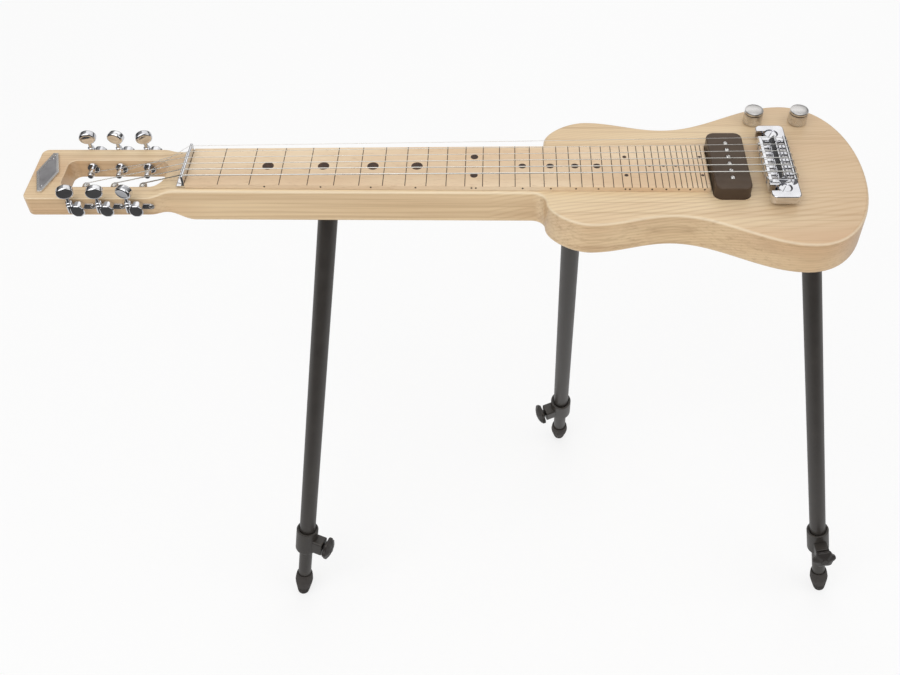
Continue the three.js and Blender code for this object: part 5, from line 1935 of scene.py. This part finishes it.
@dataclass
class Controls:
    """Two knobs on their potentiometers, the pocket's cover and the side jack."""

    centres: tuple[Point2, Point2] = ((560.4, 78.0), (606.3, 78.0))
    cavity: float = 10.5
    ledge: float = 3.5
    jack_seat: Vector = field(default_factory=lambda: Vector((583.35, 103.3, -19.0)))
    knob_radius: float = 9.5
    knob_height: float = 16.3
    skirt: float = 0.8
    cap_height: float = 4.0
    groove_height: float = 0.8
    groove_depth: float = 1.1
    knurls: int = 60
    knurl_depth: float = 0.28
    dome: float = 38.0
    # Insets of the dark band that is painted shade in the knob's groove
    shade_band_insets: Point2 = (0.02, 0.62)
    can: tuple[Point2, ...] = ((0, -16.3), (8.1, -16.3), (8.5, -15.9), (8.5, -8.2), (8.1, -7.7), (8.1, -7.3),
                               (4.7, -7.3))
    bush: tuple[Point2, ...] = ((4.5, 4), (3.3, 4), (3.3, -12.1), (0, -12.1))
    shaft: tuple[Point2, ...] = ((0, -11.8), (2.6, -11.8), (3, -11.4), (3, 7), (0, 7))
    jack: tuple[Point2, ...] = ((0, -26), (6, -26), (6, 0), (13.2, 0), (13.5, 0.3), (13.5, 0.9), (12.6, 1.6),
                                (7.6, 1.6), (7.5, 2.3), (7.1, 2.6), (4.2, 2.6), (3.3, 1.9), (3.3, -20.4),
                                (0, -20.4))
    jack_screw: Point2 = (10.2, 1.6)
    cover: Point2 = (-38.0, -36.0)
    cover_screws: Point2 = (11.0, 11.6)

    def knob(self) -> Object:
        """The knob: a knurled skirt under a domed cap, hollow below, on its shaft.

        Returns:
            The knob.
        """
        radius, top, cap = self.knob_radius, self.knob_height, self.knob_height - self.cap_height
        groove, waist = cap - self.groove_height, radius - self.groove_depth
        skirt = slab("knob", around([radius, radius - self.knurl_depth] * self.knurls), self.skirt, groove,
                     edge=0.3, segments=2)
        dome = arc((0, top - self.dome), self.dome, 0.217, 0.25, 6)
        profile = [(0, groove - 3), (waist, groove - 3), (waist, cap), (radius - 0.5, cap),
                   (radius - 0.15, cap + 0.3), (radius - 0.1, top - 2.0), (radius - 0.5, top - 1.2), *dome]
        cut(skirt, rod("hollow", 7.4, (0, 0, -2), (0, 0, 5.8), 48))
        return fuse(skirt, lathe("cap", profile, 64), lathe("shaft", self.shaft, 32))

    def ring(self) -> Object:
        """A dark band laid in the knob's groove as painted shade, standing for the groove's shadow.

        Returns:
            The dark band of painted shade.
        """
        low = self.knob_height - self.cap_height - self.groove_height
        inner, outer = self.knob_radius - self.groove_depth + self.shade_band_insets[0], self.knob_radius - self.shade_band_insets[1]
        profile = [(inner, low + 0.05), (outer, low + 0.05), (outer, low + 0.75), (inner, low + 0.75)]
        return lathe("knob_groove_shade", profile, 64, closed=True)

    def pot(self) -> Object:
        """A potentiometer: can, threaded bush and hexagon nut.

        Returns:
            The potentiometer.
        """
        pot = lathe("pot", [*self.can, *ridges(12, 0.75, ((4.7, -6.9), (4.45, -6.55))), *self.bush], 48)
        nut = slab("nut", around([6.6] * 6), 0.3, 2.3, edge=0.3, segments=2)
        return fuse(pot, cut(nut, rod("hole", 4.4, (0, 0, -1), (0, 0, 5), 48)))

    def build(self, shop: Workshop) -> None:
        """Models the controls.

        Args:
            shop: The workshop.
        """
        knob, ring, pot, finishes = self.knob(), self.ring(), self.pot(), shop.finishes
        for name, centre in zip(("volume", "tone"), self.centres):
            at, body = moved(*centre, 0), f"{name}_knob"
            shop.deliver(copy_of(knob, f"{name}_dial"), finishes.nickel, body, [body], at,
                         smooth=24)
            # The dark band in the groove is painted shade
            shop.deliver(copy_of(ring, f"{name}_dial_band"), finishes.plastic, body, place=at)
            shop.deliver(copy_of(pot, f"{name}_pot"), finishes.plated, "instrument",
                         [f"{name}_potentiometer"], at)
        seat = Matrix.Translation(self.jack_seat + Vector((0, 0.3, 0)))
        shop.deliver(lathe("jack_plate", self.jack, 64, Axis.Y), finishes.chrome, "instrument",
                     ["output_jack"], seat)
        screw = screw_head("small_screw", 2.2, 0.9)
        aside, proud = self.jack_screw
        for number, side in enumerate((-1, 1), 1):
            shop.deliver(copy_of(screw, f"jack_screw_{number}"), finishes.nickel, "instrument",
                         place=seat @ moved(side * aside, proud, 0) @ turned(-0.25, "X"))
        self.build_cover(shop, screw)
        discard(knob, ring, pot, screw)

    def build_cover(self, shop: Workshop, screw: Object) -> None:
        """Models the pocket's cover with its four sunk screws.

        Args:
            shop: The workshop.
            screw: The screw that is copied.
        """
        (low, high), (reach, aside) = self.cover, self.cover_screws
        cover = slab("cavity_plate", stadium(*self.centres, self.cavity + self.ledge - 0.3), low, high,
                     edge=0.3, ends=Rims.LOW)
        (left, across), (right, _) = self.centres
        middle = (left + right) / 2
        spots = [(left - reach, across), (right + reach, across), (middle, across + aside),
                 (middle, across - aside)]
        for spot in spots:
            cut(cover, rod("sink", 2.35, (*spot, low - 2), (*spot, low + 0.8), 24))
        shop.deliver(cover, shop.finishes.plastic, "instrument", ["control_cavity_cover"])
        for number, spot in enumerate(spots, 1):
            shop.deliver(copy_of(screw, f"cover_screw_{number}"), shop.finishes.nickel,
                         "instrument",
                         place=moved(*spot, low + 0.85) @ turned(0.5, "X") @ Matrix.Scale(0.9, 4))


@dataclass(frozen=True)
class LegSeat:
    """Where one leg stands: its station, its place across, its lean and the turn of its hand screw."""

    name: str
    station: float
    across: float
    lean: float
    screw: float
    tilt: float = 13.8
    underside: float = -38.0

    def matrix(self) -> Matrix:
        """Turns up onto the leg's own line, with X toward its lean.

        Returns:
            The leg's place.
        """
        lean, tilt = math.radians(self.lean), math.radians(self.tilt)
        up = -Vector((math.sin(tilt) * math.cos(lean), math.sin(tilt) * math.sin(lean), -math.cos(tilt)))
        across = Vector((-math.sin(lean), math.cos(lean), 0))
        basis = Matrix((across.cross(up), across, up)).transposed().to_4x4()
        return moved(self.station, self.across, self.underside) @ basis

    def upright(self) -> Matrix:
        """Stands on the underside, with X toward the lean."""
        spot = moved(self.station, self.across, self.underside)
        return spot @ Matrix.Rotation(math.radians(self.lean), 4, "Z")


@dataclass
class Leg:
    """One kind of leg, modelled once and placed at three seats; heights run up it from the underside."""

    seats: ClassVar[tuple[LegSeat, ...]] = (LegSeat("head", 130.8, 0.0, 229.5, 111.0),
                                            LegSeat("rear", 376.0, 5.0, 85.0, 116.0),
                                            LegSeat("tail", 609.0, -26.0, 327.0, -54.0))
    top: float = -9.3
    collar_bottom: float = -524.0
    collar_height: float = 38.0
    foot_top: float = -567.0
    foot_lip: float = -571.0
    end: float = -608.0
    clamp: float = -509.0
    tube: float = 10.0
    bore: float = 8.6
    inner_tube: float = 8.3
    collar: float = 13.8
    floor: float = -628.45
    plate: tuple[Point2, ...] = ((0, -3.3), (19.2, -3.3), (20, -2.5), (20, -0.3), (0, -0.3))
    boss: tuple[Point2, ...] = ((0, -9), (12.2, -9), (13, -8.2), (13, 5), (0, 5))
    screw_shares: Point3 = (0.08, 0.41, 0.75)
    screw_seat: Point3 = (16.4, 0, -3.3)
    foot_radius: float = 11.5
    foot_height: float = 38.1
    foot_shape: tuple[Point2, ...] = ((0.0, 0.52), (0.04, 0.61), (0.15, 0.70), (0.32, 0.81), (0.52, 0.945),
                                      (0.66, 1.0), (0.85, 0.95), (1.0, 0.87))
    groove_heights: Point3 = (4.6, 8.0, 11.4)
    grip: float = 14.7
    grip_sides: int = 96
    lobes: int = 6
    lobe_depth: float = 0.14
    grip_span: Point2 = (27.6, 32.4)
    grip_steps: tuple[Point2, ...] = ((0.9, 0.9), (1.1, 0.82), (0.9, 0.74), (0.4, 0.7), (-0.9, 0.84))
    hub: tuple[Point2, ...] = ((0, 24.6), (4.0, 24.6), (4.4, 25), (4.4, 28.4), (0, 28.4))
    shaft: tuple[Point2, ...] = ((0, 8.6), (2.6, 8.6), (3, 9), (3, 28), (0, 28))
    cap: tuple[Point2, ...] = ((0, 30), (4.2, 30), (4.2, 35.6), (3.6, 36.1), (0, 36.3))

    def socket(self) -> Object:
        """The plate on the underside with its tilted boss and bore.

        Returns:
            The socket.
        """
        tilt = Matrix.Rotation(math.radians(-self.seats[0].tilt), 4, "Y")
        plate = lathe("leg_socket", self.plate, 64)
        boss = settle(lathe("boss", self.boss, 48), tilt)
        fuse(plate, cut(boss, block("above", (-30, -30, -0.3), (30, 30, 30))))
        return cut(plate, settle(rod("bore", 5.6, (0, 0, -20), (0, 0, 20), 40), tilt))

    def upper(self) -> Object:
        """Stud, tube and collar turned in one, with the clamp block on the collar's side.

        Returns:
            The upper leg.
        """
        top, bottom, tube, collar, bore = self.top, self.collar_bottom, self.tube, self.collar, self.bore
        rim = bottom + self.collar_height
        profile = [(0, top + 18), (4.4, top + 18), *ridges(12, -1.5, ((5.0, top + 17.4), (4.45, top + 16.7))),
                   (4.5, top), (tube - 0.8, top), (tube, top - 0.8), (tube, rim - 3), (tube + 1.1, rim - 3),
                   (tube + 1.1, rim - 0.4), (tube + 1.5, rim), (collar - 1.2, rim),
                   (collar - 0.35, rim - 0.35), (collar, rim - 1.2), (collar, bottom + 4),
                   (collar - 0.5, bottom + 2.4),
                   (collar - 2, bottom + 0.5), (collar - 2.8, bottom), (bore + 0.5, bottom),
                   (bore, bottom + 0.5), (bore, top - 8), (0, top - 8)]
        upper = lathe("upper_leg", profile, 64)
        outline = rounded_box((-8.5, self.clamp - 10), (8.5, self.clamp + 10), [2.5] * 4, 5)
        fuse(upper, slab("clamp", outline, 11, 24.3, Axis.X, edge=1.0, ends=Rims.HIGH))
        return cut(upper, rod("clamp_bore", 3.3, (5, 0, self.clamp), (30, 0, self.clamp)))

    def lower(self) -> Object:
        """The inner tube.

        Returns:
            The tube.
        """
        wall, low, high = 1.5, self.foot_top - 25.7, self.collar_bottom + 225
        radius = self.inner_tube
        profile = [(radius - wall, low), (radius, low), (radius, high - 0.5), (radius - 0.5, high),
                   (radius - wall, high)]
        return lathe("lower_leg", profile, 48, closed=True)

    def foot(self) -> Object:
        """The rubber foot, with a lip at the top and rings near the floor.

        Returns:
            The foot.
        """
        base, lip, deep = self.end - 1.1, self.foot_lip, self.foot_top - 26
        profile = [(0, base)]
        for (low, thin), (high, thick) in zip(self.foot_shape, self.foot_shape[1:]):
            for part in (0, 0.25, 0.5, 0.75):
                reach, rise = thin + (thick - thin) * part, low + (high - low) * part
                profile.append((self.foot_radius * reach, base + self.foot_height * rise))
        bore = self.inner_tube + 0.25
        profile += [(self.foot_radius * self.foot_shape[-1][1] - 0.4, lip), (bore + 0.3, lip),
                    (bore, lip - 0.4), (bore, deep), (0, deep)]
        return lathe("foot", self.with_grooves(profile, base), 56)

    def with_grooves(self, profile: Sequence[Point2], base: float) -> list[Point2]:
        """Lets three shallow rings into the outer wall of the foot's profile.

        Args:
            profile: The foot's plain profile.
            base: The height of its lower end.

        Returns:
            The profile with the rings.
        """
        outer = [point for point in profile if point[1] < base + 16 and point[0] > 0]
        rest = [point for point in profile if point not in outer]

        def wall(height: float) -> float:
            """The outer wall's radius at a height."""
            for (first, low), (second, high) in zip(outer, [*outer[1:], rest[1]]):
                if low <= height <= high:
                    return first + (second - first) * (height - low) / (high - low)
            return outer[-1][0]

        grooves = [(base + middle + aside, depth) for middle in self.groove_heights
                   for aside, depth in ((-0.8, 0.0), (-0.5, 0.8), (0.5, 0.8), (0.8, 0.0))]
        spans = [(grooves[first][0], grooves[first + 3][0]) for first in range(0, len(grooves), 4)]
        spots = [(height, 0.0) for _, height in outer
                 if all(abs(height - groove[0]) > 0.3 for groove in grooves)
                 and not any(low < height < high for low, high in spans)]
        line = [(wall(height) - depth, height) for height, depth in sorted(spots + grooves)]
        return [rest[0], *line, *rest[1:]]

    def hand_screw(self) -> Object:
        """The lobed hand screw, drawn along X away from the leg.

        Returns:
            The hand screw.
        """
        angles = [TURN * step / self.grip_sides for step in range(self.grip_sides)]
        reaches = [self.grip * (1 - self.lobe_depth * (1 - math.cos(self.lobes * angle)) / 2)
                   for angle in angles]
        back, face = self.grip_span
        grip = slab("hand_screw", around(reaches), back, face, Axis.X, edge=1.3, segments=4)
        with edit_mode(grip):
            pick(grip, "FACE", lambda corners: level(corners, face, Axis.X))
            for rise, share in self.grip_steps:
                bpy.ops.mesh.extrude_region_move(TRANSFORM_OT_translate={"value": (rise, 0, 0)})
                bpy.ops.transform.resize(value=(1, share, share), center_override=(0, 0, 0))
        return fuse(grip, lathe("hub", self.hub, 40, Axis.X), lathe("shaft", self.shaft, 32, Axis.X),
                    lathe("cap", self.cap, 40, Axis.X))

    def build(self, shop: Workshop) -> None:
        """Models the leg's pieces and places them at the seats.

        Args:
            shop: The workshop.
        """
        socket, upper, lower, foot = self.socket(), self.upper(), self.lower(), self.foot()
        screw, small, finishes = self.hand_screw(), screw_head("socket_screw", 2.6, 0.8), shop.finishes
        for seat in self.seats:
            name, upright, along = seat.name, seat.upright(), seat.matrix()
            turn = along @ Matrix.Rotation(math.radians(seat.screw), 4, "Z")
            tube, inner, clamp = f"upper_leg_{name}", f"lower_leg_{name}", f"clamp_screw_{name}"
            shop.deliver(copy_of(socket, f"leg_{name}_socket"), finishes.chrome, "instrument",
                         [f"leg_socket_{name}"], upright)
            for number, share in enumerate(self.screw_shares, 1):
                spot = upright @ turned(share, "Z") @ moved(*self.screw_seat) @ turned(0.5, "X")
                shop.deliver(copy_of(small, f"leg_{name}_socket_screw_{number}"), finishes.nickel,
                             "instrument", place=spot)
            shop.deliver(copy_of(upper, f"leg_{name}_tube"), finishes.paint, tube, [tube], turn)
            shop.deliver(copy_of(lower, f"leg_{name}_inner_tube"), finishes.paint, inner, [inner],
                         along)
            rubber = settle(copy_of(foot, f"leg_{name}_foot"), along)
            with edit_mode(rubber):
                slice_through((0, 0, self.floor), (0, 0, 1), clear_inner=True, use_fill=True)
            shop.deliver(rubber, finishes.rubber, inner, [f"rubber_foot_{name}"])
            shop.deliver(copy_of(screw, f"leg_{name}_hand_screw"), finishes.grip, clamp, [clamp],
                         turn @ moved(0, 0, self.clamp))
        discard(socket, upper, lower, foot, screw, small)


@dataclass
class Studio:
    """The floor, the lamps, the world and the camera."""

    camera_place: Point3 = (306.6, -820.1, 667.4)
    camera_pitch: float = 41.98
    lens: float = 42.77
    shift: float = -0.0604
    floor_size: float = 30.0
    floor_white: Colour = rgb(250, 250, 250)
    sky: float = 0.62
    floor_share: float = 0.72
    sheet: Span = (-0.62, -0.34, 0.07, 0.72)
    dome: Span = (0.25, 0.75, 0.09, 0.56)
    front: Span = (-0.5, 0.3, 0.45, 1.0)
    ends: Span = (0.25, 0.85, 1.0, 0.55)
    crown: Span = (0.88, 0.97, 0.0, 1.2)
    aim: Point3 = (0, 0, 0.5)
    lamps: tuple[tuple[str, Point3, Point2, float], ...] = (("key_lamp", (-1.2, -1.6, 3.0), (3.0, 2.4), 36),
                                                            ("fill_lamp", (2.2, -0.6, 2.6), (2.4, 2.4), 17),
                                                            ("back_lamp", (0.2, 2.6, 2.2), (3.2, 2.0), 14))

    def floor(self) -> None:
        """A pale floor that keeps the object's shadow."""
        bpy.ops.object.select_all(action="DESELECT")
        bpy.ops.mesh.primitive_plane_add(size=self.floor_size, location=(0, 0, -0.0005))
        floor = bpy.context.object
        floor.name = "studio_floor"
        graph = Graph.material("studio_floor")
        graph.set(Base_Color=self.floor_white, Roughness=0.9, Specular_IOR_Level=0.1)
        self.whiten(graph)
        floor.data.materials.append(graph.owner)

    def rays(self, graph: Graph) -> tuple[Socket, Socket]:
        """What the nodes can tell of a ray.

        Args:
            graph: The nodes.

        Returns:
            Whether the ray is seen directly, and whether polished metal sees it.
        """
        path = graph.node("ShaderNodeLightPath").outputs
        return graph.sum("MAXIMUM", path["Is Camera Ray"], path["Is Transmission Ray"]), path["Is Glossy Ray"]

    def whiten(self, graph: Graph) -> None:
        """Shows the floor almost white, and to polished metal as a white sheet that ends in front.

        Args:
            graph: The floor's nodes.
        """
        clear, glossy = self.rays(graph)
        sheet = graph.span(graph.axes(graph.place())[1], *self.sheet)
        glow, mix = graph.node("ShaderNodeEmission"), graph.node("ShaderNodeMixShader")
        graph.feed(glow.inputs["Strength"], graph.sum("MAXIMUM", clear, sheet))
        share = graph.sum("MAXIMUM", graph.sum("MULTIPLY", clear, self.floor_share), glossy)
        both = graph.feed_all(mix, share, graph.shader.outputs[0], glow.outputs[0])
        graph.feed(graph.nodes["Material Output"].inputs["Surface"], both)

    def world(self) -> None:
        """A plain pale sky, white to the eye and with a dark horizon for polished metal."""
        world = bpy.data.worlds.new("studio_world")
        bpy.context.scene.world = world
        graph = Graph(world)
        clear, glossy = self.rays(graph)
        along, across, up = graph.axes(graph.node("ShaderNodeTexCoord").outputs["Generated"])
        dome = graph.sum("MULTIPLY", graph.span(up, *self.dome), graph.span(across, *self.front))
        dome = graph.sum("MULTIPLY", dome, graph.span(graph.sum("ABSOLUTE", along), *self.ends))
        dome = graph.sum("ADD", dome, graph.span(up, *self.crown))
        sky = graph.sum("ADD", graph.sum("MULTIPLY", dome, glossy),
                        graph.sum("MULTIPLY", graph.sum("SUBTRACT", 1.0, glossy), self.sky))
        graph.set(Color=(1, 1, 1, 1), Strength=graph.sum("MAXIMUM", clear, sky))

    def lamp(self, name: str, place: Point3, size: Point2, power: float) -> None:
        """One soft box that faces the instrument.

        Args:
            name: The lamp's name.
            place: Where it stands, in metres.
            size: Its width and height.
            power: Its power in watts.
        """
        data = bpy.data.lights.new(name, "AREA")
        data.shape = "RECTANGLE"
        data.size, data.size_y = size
        data.energy = power
        lamp = bpy.data.objects.new(name, data)
        bpy.context.scene.collection.objects.link(lamp)
        lamp.location = place
        lamp.rotation_euler = (Vector(self.aim) - Vector(place)).to_track_quat("-Z", "Y").to_euler()

    def build(self, shop: Workshop) -> None:
        """Sets up the whole stage, with the camera placed from the deck.

        Args:
            shop: The workshop.
        """
        self.floor()
        self.world()
        for lamp in self.lamps:
            self.lamp(*lamp)
        data = bpy.data.cameras.new("camera")
        camera = bpy.data.objects.new("camera", data)
        bpy.context.scene.collection.objects.link(camera)
        camera.location = shop.point(*self.camera_place)
        camera.rotation_euler = (math.radians(self.camera_pitch), 0, 0)
        data.sensor_width, data.lens = 36, self.lens
        data.shift_x, data.clip_end = self.shift, 100
        bpy.context.scene.camera = camera
        bpy.context.scene.view_settings.view_transform = "Standard"


def main() -> None:
    """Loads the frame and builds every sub-assembly."""
    logging.basicConfig(level=logging.INFO, format="%(message)s")
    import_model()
    shop = Workshop.from_frame()
    Studio().build(shop)
    strings, bridge, machine = Strings(), Bridge(), TuningMachine()
    Plank().build(shop, strings)
    Fretboard(strings).build(shop)
    Nut(strings).build(shop)
    HeadPlate().build(shop)
    machine.build(shop)
    Pickup().build(shop)
    bridge.build(shop, strings)
    StringSet(strings, bridge, machine).build(shop)
    Controls().build(shop)
    Leg().build(shop)


if __name__ == "__main__":
    main()
